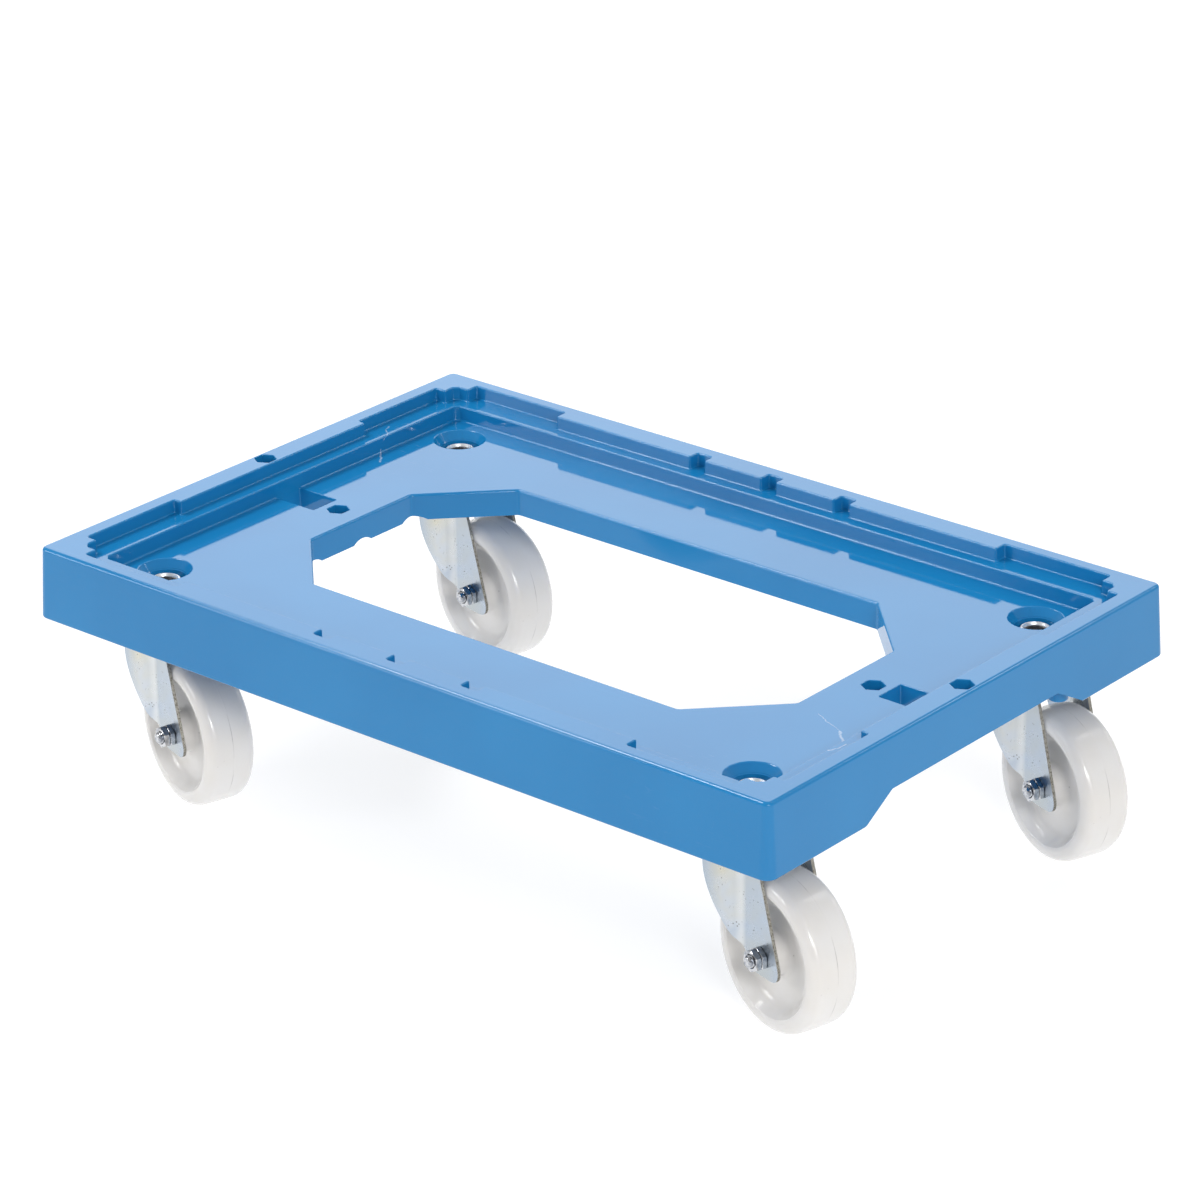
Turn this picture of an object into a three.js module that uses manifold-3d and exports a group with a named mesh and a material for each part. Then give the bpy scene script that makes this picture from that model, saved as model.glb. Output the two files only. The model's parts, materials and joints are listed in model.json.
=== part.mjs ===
// Platform trolley: a moulded plastic deck that carries a stacking crate, on four swivel castors.
// Millimetres, +Z up. +X runs along the deck's long side, and -Y is its front.
// The castors trail towards +X, so the origin, on the ground below the middle of the whole
// trolley, is a little to the right of the deck's own middle.

import * as THREE from 'three';
import { mergeVertices } from 'three/addons/utils/BufferGeometryUtils.js';
import Module from 'manifold-3d';

const wasm = await Module();
wasm.setup();

// ---- driving dimensions -------------------------------------------------------------------

const GAP = 0.3; // left between two pieces that touch

// Deck
const DECK_MIDDLE_X = -12.5; // the deck's middle, seen from the origin
const DECK_LENGTH = 610; // at the skirt's lower edge
const DECK_WIDTH = 410;
const DECK_CORNER = 8;
const DECK_DRAFT = 2.8; // how far each side leans in over the skirt's height
const DECK_EDGE = 2.5; // rounding of the top outer edge
const SKIRT_BOTTOM = 121;
const RIM_TOP = 170.5;
const LEDGE = 161.2; // the step that the crate's base ring stands on
const FLOOR = 150.5;
const WALL = 3;
const FLOOR_HALF_X = 272;
const FLOOR_HALF_Y = 172.5;
const FLOOR_CHAMFER = 3;

// Rim, seen from above: it is thick in the middle of each side and at the corners
const RIM_THICK_X = 283.5;
const RIM_THIN_X = 289.5;
const RIM_THICK_Y = 182;
const RIM_THIN_Y = 191.5;
const END_PAD_HALF = 90.5;
const SIDE_PAD_HALF = 187.5;
const CORNER_X = 269.5;
const CORNER_Y = 170.5;
const CORNER_STEP = 11.5;
const CORNER_CHAMFER = 3.5;
const NOTCH_PITCH = 61.5;
const NOTCH_WIDTH = 12;
const NOTCH_Y = 190.5;

// Openings through the deck
const OPENING_HALF_X = 204;
const OPENING_HALF_Y = 101;
const OPENING_CHAMFER_X = 51.4;
const OPENING_CHAMFER_Y = 52;
const OPENING_EDGE = 2;
const COLLAR_BOTTOM = 132;
const COLLAR_NOTCH_WIDTH = 17;
const COLLAR_NOTCH_HEIGHT = 3;
const SLOT_INNER_X = 238;
const SLOT_HALF_Y = 11.3;
const HEX_ACROSS_FLATS = 13.5;
const HEX_DEPTH = 12;
const FLOOR_HEX_X = 225.5;
const RIM_HEX_X = 292.5;

// Skirt and underside
const CUTOUT_HALF_BOTTOM = 114;
const CUTOUT_HALF_TOP = 85.5;
const CUTOUT_TOP = 136.5;
const END_BOSS_X = 290.5;
const END_BOSS_Y = 106;
const END_BOSS_RADIUS = 6.5;
const END_BOSS_BOTTOM = 121.5;
const RIB_THICKNESS = 2.5;
const RIB_BOTTOM = 131;

// Castors
const CASTOR_X = 245.2;
const CASTOR_Y = 145;
const TRAIL = 36; // from the swivel axis back to the axle
const WHEEL_RADIUS = 50;
const WHEEL_HALF_WIDTH = 17;
const HUB_HALF_LENGTH = 17.4;
const SHEET = 2.2;
const FORK_HALF_GAP = 17.7;
const FORK_JOGGLE = 4; // the rear part of each leg stands this much further out
const CROWN_TOP = 114.9;
const CROWN_RADIUS = 26.5;
const SEAT = 125.5; // the deck boss's lower face, where the castor bolts on
const SHELF = 130; // the bottom of the well that holds the nut
const WELL_RADIUS = 13.8;
const WELL_MOUTH_RADIUS = 18.25;
const WELL_MOUTH_DEPTH = 5.3;
const BOSS_RADIUS = 27;
const BOLT_RADIUS = 6;
const BOLT_FLATS = 18;
const BOLT_HEAD_HEIGHT = 7.5;
const WASHER_THICKNESS = 1.4;
const NUT_FLATS = 22;
const NUT_TOP = 144; // the top of the lock nut's round collar
const COLLAR_HEIGHT = 4;
const NUT_COLLAR_RADIUS = 10.3;
const INSERT_RADIUS = 7.2; // the ring in the collar that grips the bolt
const INSERT_TOP = 142.2;
const BOLT_TIP = 141;
const KING_PIN_RADIUS = 9.4;
const BALL_CIRCLE = 17;
const BALL_RADIUS = 2.3;
const BALL_COUNT = 9;
const FLANGE_THICKNESS = 2.7; // the king pin's, under the fork's crown
const AXLE_RADIUS = 4;
const AXLE_NUT_FLATS = 13;

const STOPPED_AT = [
  { name: 'front_left', sideX: -1, sideY: -1, yaw: -17.5 },
  { name: 'back_left', sideX: -1, sideY: 1, yaw: -11.6 },
  { name: 'back_right', sideX: 1, sideY: 1, yaw: -19.9 },
  { name: 'front_right', sideX: 1, sideY: -1, yaw: -15.7 },
];

// ---- materials ----------------------------------------------------------------------------

function finish(color, roughness, metalness) {
  return new THREE.MeshStandardMaterial({ color, roughness, metalness });
}

const FINISHES = {
  deckPlastic: finish(0x2a78c0, 0.2, 0),
  wheelPlastic: finish(0xdedee2, 0.45, 0),
  zincSheet: finish(0xc4c6c8, 0.4, 0.9),
  brightSteel: finish(0xb9bcc2, 0.2, 1),
  darkPlastic: finish(0x3a3c40, 0.5, 0),
};

// ---- shapes -------------------------------------------------------------------------------

function solid(geometry) {
  const bare = geometry.clone();
  bare.deleteAttribute('normal');
  bare.deleteAttribute('uv');
  const merged = mergeVertices(bare, 1e-4);
  return new wasm.Manifold(new wasm.Mesh({
    numProp: 3,
    vertProperties: new Float32Array(merged.attributes.position.array),
    triVerts: new Uint32Array(merged.index.array),
  }));
}

function geometryOf(part) {
  const { vertProperties, triVerts } = part.getMesh();
  const geometry = new THREE.BufferGeometry();
  geometry.setAttribute('position', new THREE.BufferAttribute(vertProperties, 3));
  geometry.setIndex(new THREE.BufferAttribute(triVerts, 1));
  geometry.computeVertexNormals();
  return geometry;
}

function joined(parts) {
  return parts.reduce((whole, part) => whole.add(part));
}

function outline(points) {
  return new THREE.Shape(points.map(([x, y]) => new THREE.Vector2(x, y)));
}

function extruded(shape, depth, arcSteps = 4) {
  return new THREE.ExtrudeGeometry(shape, { depth, bevelEnabled: false, curveSegments: arcSteps });
}

// An upright prism from one height to another.
function prism(shape, bottom, top, arcSteps) {
  return solid(extruded(shape, top - bottom, arcSteps).translate(0, 0, bottom));
}

// A prism along Y, its outline drawn in the XZ plane, centred on y = 0.
function sidewaysPrism(shape, width, arcSteps) {
  return solid(extruded(shape, width, arcSteps).rotateX(Math.PI / 2).translate(0, width / 2, 0));
}

// A prism along X, its outline drawn in the YZ plane.
function lengthwisePrism(shape, fromX, toX, arcSteps) {
  const geometry = extruded(shape, toX - fromX, arcSteps);
  geometry.rotateX(Math.PI / 2).rotateZ(Math.PI / 2);
  return solid(geometry.translate(fromX, 0, 0));
}

// An upright solid whose outline is drawn in by a different amount at each height.
function layered(shape, layers) {
  const steps = layers.length - 1;
  const options = { depth: steps, steps, bevelEnabled: false, curveSegments: 4 };
  const geometry = new THREE.ExtrudeGeometry(shape, options);
  geometry.computeBoundingBox();
  const half = geometry.boundingBox.max.clone();
  const place = geometry.attributes.position;
  for (let i = 0; i < place.count; i += 1) {
    const { z, inset } = layers[Math.round(place.getZ(i))];
    const x = place.getX(i) * (1 - inset / half.x);
    const y = place.getY(i) * (1 - inset / half.y);
    place.setXYZ(i, x, y, z);
  }
  return solid(geometry);
}

function turnedGeometry(profile, segments = 24) {
  return new THREE.LatheGeometry(profile.map(([r, z]) => new THREE.Vector2(r, z)), segments);
}

// A solid of revolution about Z. The profile's points are [radius, height].
function turned(profile, segments) {
  return turnedGeometry(profile, segments).rotateX(Math.PI / 2);
}

function ring(inner, outer, bottom, top, segments) {
  const profile = [[inner, bottom], [outer, bottom], [outer, top], [inner, top], [inner, bottom]];
  return turned(profile, segments);
}

function cylinder(radius, bottom, top, segments = 24) {
  return turned([[0, bottom], [radius, bottom], [radius, top], [0, top]], segments);
}

// A hexagon with two corners on the Y axis.
function hexagon(acrossFlats) {
  const radius = acrossFlats / Math.sqrt(3);
  const corners = [0, 1, 2, 3, 4, 5].map((k) => Math.PI / 2 + (k * Math.PI) / 3);
  return outline(corners.map((a) => [radius * Math.cos(a), radius * Math.sin(a)]));
}

function roundedRectangle(length, width, radius) {
  const x = length / 2 - radius;
  const y = width / 2 - radius;
  const shape = new THREE.Shape();
  shape.absarc(x, y, radius, 0, Math.PI / 2);
  shape.absarc(-x, y, radius, Math.PI / 2, Math.PI);
  shape.absarc(-x, -y, radius, Math.PI, 1.5 * Math.PI);
  shape.absarc(x, -y, radius, 1.5 * Math.PI, 2 * Math.PI);
  return shape;
}

function rectangle(length, width) {
  const x = length / 2;
  const y = width / 2;
  return outline([[x, y], [-x, y], [-x, -y], [x, -y]]);
}

// The four quarters of an outline that is drawn for x > 0 and y > 0, anticlockwise.
function fourQuarters(quarter) {
  const flipped = [...quarter].reverse();
  return [
    ...quarter,
    ...flipped.map(([x, y]) => [-x, y]),
    ...quarter.map(([x, y]) => [-x, -y]),
    ...flipped.map(([x, y]) => [x, -y]),
  ];
}

// The same outline with every edge moved out by one distance.
function grown(points, distance) {
  return points.map((corner, i) => {
    const before = points[(i + points.length - 1) % points.length];
    const after = points[(i + 1) % points.length];
    const incoming = edgeNormal(before, corner);
    const outgoing = edgeNormal(corner, after);
    const spread = 1 + incoming.dot(outgoing);
    const shift = incoming.add(outgoing).multiplyScalar(distance / spread);
    return [corner[0] + shift.x, corner[1] + shift.y];
  });
}

function edgeNormal(from, to) {
  return new THREE.Vector2(to[1] - from[1], from[0] - to[0]).normalize();
}

// ---- deck ---------------------------------------------------------------------------------

function rimOutline() {
  const notchInner = NOTCH_PITCH - NOTCH_WIDTH / 2;
  const notchOuter = NOTCH_PITCH + NOTCH_WIDTH / 2;
  return fourQuarters([
    [RIM_THICK_X, END_PAD_HALF],
    [RIM_THIN_X, END_PAD_HALF],
    [RIM_THIN_X, CORNER_Y],
    [CORNER_X + CORNER_STEP, CORNER_Y],
    [CORNER_X + CORNER_STEP, CORNER_Y + CORNER_STEP - CORNER_CHAMFER],
    [CORNER_X + CORNER_STEP - CORNER_CHAMFER, CORNER_Y + CORNER_STEP],
    [CORNER_X, CORNER_Y + CORNER_STEP],
    [CORNER_X, RIM_THIN_Y],
    [SIDE_PAD_HALF, RIM_THIN_Y],
    [SIDE_PAD_HALF, RIM_THICK_Y],
    [notchOuter, RIM_THICK_Y],
    [notchOuter, NOTCH_Y],
    [notchInner, NOTCH_Y],
    [notchInner, RIM_THICK_Y],
    [NOTCH_WIDTH / 2, RIM_THICK_Y],
    [NOTCH_WIDTH / 2, NOTCH_Y],
  ]);
}

function floorOutline() {
  return fourQuarters([
    [FLOOR_HALF_X, FLOOR_HALF_Y - FLOOR_CHAMFER],
    [FLOOR_HALF_X - FLOOR_CHAMFER, FLOOR_HALF_Y],
  ]);
}

function openingOutline() {
  return fourQuarters([
    [OPENING_HALF_X, OPENING_HALF_Y - OPENING_CHAMFER_Y],
    [OPENING_HALF_X - OPENING_CHAMFER_X, OPENING_HALF_Y],
  ]);
}

function outerBlock() {
  const leanAt = (z) => (DECK_DRAFT * (z - SKIRT_BOTTOM)) / (RIM_TOP - SKIRT_BOTTOM);
  const layers = [{ z: SKIRT_BOTTOM, inset: 0 }];
  for (let step = 0; step <= 3; step += 1) {
    const angle = (step * Math.PI) / 6;
    const z = RIM_TOP - DECK_EDGE * (1 - Math.sin(angle));
    layers.push({ z, inset: leanAt(z) + DECK_EDGE * (1 - Math.cos(angle)) });
  }
  return layered(roundedRectangle(DECK_LENGTH, DECK_WIDTH, DECK_CORNER), layers);
}

// The space inside the skirt and under the rim, before the ribs and bosses are put back.
function undersideSpace() {
  const length = DECK_LENGTH - 2 * WALL;
  const width = DECK_WIDTH - 2 * WALL;
  const inside = (top) => {
    const inset = (DECK_DRAFT * (top - SKIRT_BOTTOM)) / (RIM_TOP - SKIRT_BOTTOM);
    const layers = [{ z: SKIRT_BOTTOM - 1, inset: 0 }, { z: top, inset }];
    return layered(roundedRectangle(length, width, DECK_CORNER - WALL), layers);
  };
  const rimWalls = prism(outline(grown(rimOutline(), WALL)), 0, RIM_TOP);
  const rimPlug = rectangle(2 * (DECK_LENGTH / 2 - RIM_HEX_X), 22);
  const hexBlocks = [-1, 1].map((side) => (
    prism(rimPlug, LEDGE - WALL, RIM_TOP).translate(side * RIM_HEX_X, 0, 0)
  ));
  const rimChannels = inside(RIM_TOP - WALL).subtract(rimWalls).subtract(joined(hexBlocks));
  const floorTray = prism(outline(grown(floorOutline(), WALL)), FLOOR - WALL, RIM_TOP);
  return inside(LEDGE - WALL).add(rimChannels).subtract(floorTray);
}

function ribs() {
  const rib = (length, width) => prism(rectangle(length, width), RIB_BOTTOM, RIM_TOP);
  const found = [];
  const pitchX = CASTOR_X / 5;
  for (let k = -5; k <= 5; k += 1) {
    found.push(rib(RIB_THICKNESS, DECK_WIDTH).translate(k * pitchX, 0, 0));
  }
  const pitchY = CASTOR_Y / 3;
  for (let k = -3; k <= 3; k += 1) {
    found.push(rib(DECK_LENGTH, RIB_THICKNESS).translate(0, k * pitchY, 0));
  }
  return joined(found);
}

function eachCastorPlace(make) {
  return STOPPED_AT.map(({ sideX, sideY }) => (
    make().translate(sideX * CASTOR_X, sideY * CASTOR_Y, 0)
  ));
}

function bosses() {
  const castorBosses = eachCastorPlace(() => solid(cylinder(BOSS_RADIUS, SEAT, RIM_TOP, 28)));
  const endBosses = STOPPED_AT.map(({ sideX, sideY }) => (
    solid(cylinder(END_BOSS_RADIUS, END_BOSS_BOTTOM, RIM_TOP, 12))
      .translate(sideX * END_BOSS_X, sideY * END_BOSS_Y, 0)
  ));
  const hexBosses = [-1, 1].map((side) => (
    solid(cylinder(HEX_ACROSS_FLATS / 2 + WALL, FLOOR - HEX_DEPTH - WALL, RIM_TOP))
      .translate(side * FLOOR_HEX_X, 0, 0)
  ));
  return joined([...castorBosses, ...endBosses, ...hexBosses]);
}

function slot(grow, bottom) {
  const length = FLOOR_HALF_X - SLOT_INNER_X + 2 * grow;
  const middle = (FLOOR_HALF_X + SLOT_INNER_X) / 2;
  const box = rectangle(length, 2 * (SLOT_HALF_Y + grow));
  const one = prism(box, bottom, RIM_TOP + 1).translate(middle, 0, 0);
  return one.add(one.rotate([0, 0, 180]));
}

function collars() {
  const notchRadius = (COLLAR_NOTCH_WIDTH ** 2 / 4 + COLLAR_NOTCH_HEIGHT ** 2)
    / (2 * COLLAR_NOTCH_HEIGHT);
  const arch = new THREE.Shape();
  const archMiddle = COLLAR_BOTTOM + COLLAR_NOTCH_HEIGHT - notchRadius;
  arch.absarc(0, archMiddle, notchRadius, 0, 2 * Math.PI);
  const collar = prism(outline(grown(openingOutline(), WALL)), COLLAR_BOTTOM, RIM_TOP);
  const notch = lengthwisePrism(arch, -DECK_LENGTH / 2, DECK_LENGTH / 2, 12);
  const notches = joined([-1, 0, 1].map((place) => notch.translate(0, place * CASTOR_Y / 3, 0)));
  const ducts = slot(WALL, RIB_BOTTOM);
  return collar.subtract(notches).add(ducts);
}

function castorWells() {
  const profile = [
    [0, SHELF],
    [WELL_RADIUS, SHELF],
    [WELL_RADIUS, FLOOR - WELL_MOUTH_DEPTH],
    [WELL_MOUTH_RADIUS, FLOOR],
    [WELL_MOUTH_RADIUS, FLOOR + 1],
    [0, FLOOR + 1],
  ];
  return joined([
    ...eachCastorPlace(() => solid(turned(profile, 24))),
    ...eachCastorPlace(() => solid(cylinder(BOLT_RADIUS + 0.5, SEAT - 1, SHELF + 1, 16))),
  ]);
}

function centralOpening() {
  const shape = outline(openingOutline());
  const layers = [
    { z: SKIRT_BOTTOM - 1, inset: 0 },
    { z: FLOOR - OPENING_EDGE, inset: 0 },
    { z: FLOOR - 0.3 * OPENING_EDGE, inset: -0.3 * OPENING_EDGE },
    { z: FLOOR, inset: -OPENING_EDGE },
    { z: RIM_TOP, inset: -OPENING_EDGE },
  ];
  return layered(shape, layers);
}

function hexPockets() {
  const pocket = (x, top) => (
    prism(hexagon(HEX_ACROSS_FLATS), top - HEX_DEPTH, RIM_TOP + 1).translate(x, 0, 0)
  );
  return joined([
    pocket(FLOOR_HEX_X, FLOOR),
    pocket(-FLOOR_HEX_X, FLOOR),
    pocket(RIM_HEX_X, RIM_TOP),
    pocket(-RIM_HEX_X, RIM_TOP),
  ]);
}

function skirtCutouts() {
  const slope = (CUTOUT_HALF_BOTTOM - CUTOUT_HALF_TOP) / (CUTOUT_TOP - SKIRT_BOTTOM);
  const below = CUTOUT_HALF_BOTTOM + slope;
  const trapezoid = outline([
    [-below, SKIRT_BOTTOM - 1],
    [below, SKIRT_BOTTOM - 1],
    [CUTOUT_HALF_TOP, CUTOUT_TOP],
    [-CUTOUT_HALF_TOP, CUTOUT_TOP],
  ]);
  const skirtInside = END_BOSS_X + END_BOSS_RADIUS + 0.5;
  const right = lengthwisePrism(trapezoid, skirtInside, DECK_LENGTH / 2 + 1);
  return right.add(right.rotate([0, 0, 180]));
}

function deckGeometry() {
  const crateSeat = prism(outline(rimOutline()), LEDGE, RIM_TOP + 1);
  const floorTray = prism(outline(floorOutline()), FLOOR, RIM_TOP + 1);
  const kept = joined([ribs(), bosses(), collars()]);
  const hollow = undersideSpace().subtract(kept);
  const cuts = joined([
    crateSeat,
    floorTray,
    hollow,
    centralOpening(),
    castorWells(),
    slot(0, SKIRT_BOTTOM - 1),
    hexPockets(),
    skirtCutouts(),
  ]);
  return geometryOf(outerBlock().subtract(cuts));
}

// ---- castor fixings, drawn round the swivel axis ------------------------------------------

const CROWN_UNDER = CROWN_TOP - SHEET;
const FLANGE_TOP = CROWN_UNDER - GAP;
const FLANGE_BOTTOM = FLANGE_TOP - FLANGE_THICKNESS;
const NUT_BOTTOM = SHELF + WASHER_THICKNESS + 2 * GAP;

function fixingBoltGeometry() {
  const headTop = FLANGE_BOTTOM - GAP;
  const shank = solid(turned([
    [0, headTop - 1],
    [BOLT_RADIUS, headTop - 1],
    [BOLT_RADIUS, BOLT_TIP - 1],
    [BOLT_RADIUS - 1, BOLT_TIP],
    [0, BOLT_TIP],
  ], 20));
  return geometryOf(shank.add(prism(hexagon(BOLT_FLATS), headTop - BOLT_HEAD_HEIGHT, headTop)));
}

function fixingWasherGeometry() {
  const bottom = SHELF + GAP;
  return ring(BOLT_RADIUS + GAP, 12, bottom, bottom + WASHER_THICKNESS, 20);
}

function fixingNutGeometry() {
  const collarBottom = NUT_TOP - COLLAR_HEIGHT;
  const hex = prism(hexagon(NUT_FLATS), NUT_BOTTOM, collarBottom);
  const collar = solid(turned([
    [0, collarBottom - 1],
    [NUT_COLLAR_RADIUS, collarBottom - 1],
    [NUT_COLLAR_RADIUS, NUT_TOP - 1.2],
    [NUT_COLLAR_RADIUS - 1, NUT_TOP],
    [0, NUT_TOP],
  ], 20));
  const bore = solid(turned([
    [0, NUT_BOTTOM - 1],
    [BOLT_RADIUS + GAP, NUT_BOTTOM - 1],
    [BOLT_RADIUS + GAP, collarBottom],
    [INSERT_RADIUS + GAP, collarBottom],
    [INSERT_RADIUS + GAP, NUT_TOP + 1],
    [0, NUT_TOP + 1],
  ], 20));
  return geometryOf(hex.add(collar).subtract(bore));
}

function nutInsertGeometry() {
  const bottom = NUT_TOP - COLLAR_HEIGHT + GAP;
  return ring(BOLT_RADIUS + GAP, INSERT_RADIUS, bottom, INSERT_TOP, 20);
}

function topRaceGeometry() {
  const bottom = CROWN_TOP + 2 * (BALL_RADIUS + GAP);
  const bore = KING_PIN_RADIUS + GAP;
  return turned([
    [bore, bottom],
    [22.5, bottom],
    [23.5, CROWN_TOP + 1.2],
    [25.5, CROWN_TOP + 1.2],
    [25.5, SEAT - GAP - 3],
    [22.5, SEAT - GAP],
    [bore, SEAT - GAP],
    [bore, bottom],
  ], 24);
}

function kingPinGeometry() {
  const bore = BOLT_RADIUS + GAP;
  return turned([
    [bore, FLANGE_BOTTOM],
    [14, FLANGE_BOTTOM],
    [15, FLANGE_BOTTOM + 1],
    [15, FLANGE_TOP],
    [KING_PIN_RADIUS, FLANGE_TOP],
    [KING_PIN_RADIUS, SEAT - 2 * GAP],
    [bore, SEAT - 2 * GAP],
    [bore, FLANGE_BOTTOM],
  ], 20);
}

function ballRingGeometry() {
  const middle = CROWN_TOP + BALL_RADIUS + GAP;
  const [inner, outer] = [BALL_CIRCLE - 1.2, BALL_CIRCLE + 1.2];
  const cage = solid(ring(inner, outer, middle - 0.6, middle + 0.6, BALL_COUNT));
  const balls = [];
  for (let k = 0; k < BALL_COUNT; k += 1) {
    const angle = (k * 2 * Math.PI) / BALL_COUNT;
    const ball = solid(new THREE.OctahedronGeometry(BALL_RADIUS, 1));
    const x = BALL_CIRCLE * Math.cos(angle);
    const y = BALL_CIRCLE * Math.sin(angle);
    balls.push(ball.translate(x, y, middle));
  }
  return geometryOf(joined([cage, ...balls]));
}

// ---- fork, with the swivel axis on Z and the axle at x = TRAIL ----------------------------

// The bent sheet before its outline is cut: a U across the wheel, wider behind the joggle.
function bentSheet() {
  const bend = 3;
  const inner = FORK_HALF_GAP;
  const outer = inner + SHEET;
  const foot = WHEEL_RADIUS - 20;
  const u = new THREE.Shape();
  u.moveTo(-outer, foot);
  u.lineTo(-inner, foot);
  u.absarc(-inner + bend, CROWN_UNDER - bend, bend, Math.PI, Math.PI / 2, true);
  u.absarc(inner - bend, CROWN_UNDER - bend, bend, Math.PI / 2, 0, true);
  u.lineTo(inner, foot);
  u.lineTo(outer, foot);
  u.absarc(outer - bend - SHEET, CROWN_UNDER - bend, bend + SHEET, 0, Math.PI / 2);
  u.absarc(-outer + bend + SHEET, CROWN_UNDER - bend, bend + SHEET, Math.PI / 2, Math.PI);
  const stations = [
    { x: -20, spread: FORK_JOGGLE },
    { x: 10, spread: FORK_JOGGLE },
    { x: 18.4, spread: 0 },
    { x: 60, spread: 0 },
  ];
  const steps = stations.length - 1;
  const options = { depth: steps, steps, bevelEnabled: false, curveSegments: 3 };
  const geometry = new THREE.ExtrudeGeometry(u, options);
  const place = geometry.attributes.position;
  for (let i = 0; i < place.count; i += 1) {
    const { x, spread } = stations[Math.round(place.getZ(i))];
    const across = place.getX(i);
    place.setXYZ(i, x, across + Math.sign(across) * spread, place.getY(i));
  }
  return solid(geometry);
}

function legOutline() {
  const side = new THREE.Shape();
  side.moveTo(30, 38);
  side.lineTo(46, 38);
  side.quadraticCurveTo(53.5, 38.5, 52.5, 48);
  side.lineTo(33, 107);
  side.lineTo(31, CROWN_TOP + 1);
  side.lineTo(-18, CROWN_TOP + 1);
  side.lineTo(-18, 94);
  side.bezierCurveTo(-18, 78, -4, 64, 16.4, 52);
  side.quadraticCurveTo(23, 47, 30, 38);
  return side;
}

function forkGeometry() {
  const crown = solid(cylinder(CROWN_RADIUS, CROWN_UNDER, CROWN_TOP, 32));
  const bore = solid(cylinder(KING_PIN_RADIUS + GAP, CROWN_TOP - 10, CROWN_TOP + 1));
  const axle = new THREE.Shape();
  axle.absarc(TRAIL, WHEEL_RADIUS, AXLE_RADIUS + GAP, 0, 2 * Math.PI);
  const blank = bentSheet().intersect(sidewaysPrism(legOutline(), 60, 6));
  const holes = bore.add(sidewaysPrism(axle, 60, 5));
  return geometryOf(blank.add(crown).subtract(holes));
}

// ---- wheel and axle, drawn round the Y axis -----------------------------------------------

function wheelGeometry() {
  const segments = 32;
  const bore = AXLE_RADIUS + 2.4;
  const shoulderRise = 7;
  const shoulderWidth = 8;
  const half = [
    [bore, HUB_HALF_LENGTH],
    [12.5, HUB_HALF_LENGTH],
    [14, 8],
    [37, 7],
    [40.5, WHEEL_HALF_WIDTH - 1],
  ];
  for (let step = 0; step <= 3; step += 1) {
    const angle = (step * Math.PI) / 6;
    const rise = shoulderRise * (1 - Math.sin(angle));
    const axial = WHEEL_HALF_WIDTH - shoulderWidth * (1 - Math.cos(angle));
    half.push([WHEEL_RADIUS - 0.6 - rise, axial]);
  }
  half.push([WHEEL_RADIUS, 0]);
  const other = half.slice(0, -1).reverse().map(([r, a]) => [r, -a]);
  const profile = [...half, ...other, half[0]].reverse();
  const geometry = turnedGeometry(profile, segments);
  const flatToCorner = 1 / Math.cos(Math.PI / segments);
  geometry.rotateY(Math.PI / segments);
  return geometry.scale(flatToCorner, 1, flatToCorner);
}

function bushGeometry() {
  const inner = AXLE_RADIUS + GAP;
  const outer = AXLE_RADIUS + 2.1;
  const reach = HUB_HALF_LENGTH;
  return turnedGeometry([
    [inner, -reach], [outer, -reach], [outer, reach], [inner, reach], [inner, -reach],
  ], 20);
}

// A hexagon standing on the Y axis between two places along it.
function hexPrism(acrossFlats, from, to) {
  return solid(extruded(hexagon(acrossFlats), to - from).rotateX(-Math.PI / 2))
    .translate(0, from, 0);
}

const LEG_FACE = FORK_HALF_GAP + SHEET + GAP;

function axleBoltGeometry() {
  const tip = -30.5;
  const shank = solid(turnedGeometry([
    [0, tip],
    [AXLE_RADIUS - 0.8, tip],
    [AXLE_RADIUS, tip + 0.8],
    [AXLE_RADIUS, LEG_FACE + 1],
    [0, LEG_FACE + 1],
  ], 20));
  return geometryOf(shank.add(hexPrism(AXLE_NUT_FLATS, LEG_FACE, LEG_FACE + 5.3)));
}

function axleNutGeometry(acrossFlats, from, height) {
  const hole = solid(turnedGeometry([
    [0, from - 1],
    [AXLE_RADIUS + GAP, from - 1],
    [AXLE_RADIUS + GAP, from + height + 1],
    [0, from + height + 1],
  ], 20));
  return geometryOf(hexPrism(acrossFlats, from, from + height).subtract(hole));
}

// ---- assembly -----------------------------------------------------------------------------

function piece(name, geometry, material) {
  const mesh = new THREE.Mesh(geometry, material);
  mesh.name = name;
  return mesh;
}

function castor(place) {
  const named = (part, geometry, material) => piece(`${place}_${part}`, geometry, material);
  const { zincSheet, brightSteel, wheelPlastic, darkPlastic } = FINISHES;
  const axleGroup = new THREE.Group();
  axleGroup.position.set(TRAIL, 0, WHEEL_RADIUS);
  axleGroup.add(
    named('wheel', wheelGeometry(), wheelPlastic),
    named('axle_bush', bushGeometry(), darkPlastic),
    named('axle_bolt', axleBoltGeometry(), brightSteel),
    named('axle_jam_nut', axleNutGeometry(13.6, -LEG_FACE - 3.4, 3.4), brightSteel),
    named('axle_nut', axleNutGeometry(AXLE_NUT_FLATS, -LEG_FACE - 7.7, 4), brightSteel),
  );
  const group = new THREE.Group();
  group.add(
    named('fixing_bolt', fixingBoltGeometry(), brightSteel),
    named('fixing_washer', fixingWasherGeometry(), brightSteel),
    named('fixing_nut', fixingNutGeometry(), brightSteel),
    named('fixing_nut_insert', nutInsertGeometry(), darkPlastic),
    named('top_race', topRaceGeometry(), zincSheet),
    named('king_pin', kingPinGeometry(), zincSheet),
    named('ball_ring', ballRingGeometry(), brightSteel),
    named('fork', forkGeometry(), zincSheet),
    axleGroup,
  );
  return group;
}

const group = new THREE.Group();
group.position.x = DECK_MIDDLE_X;
group.add(piece('deck', deckGeometry(), FINISHES.deckPlastic));

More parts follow.
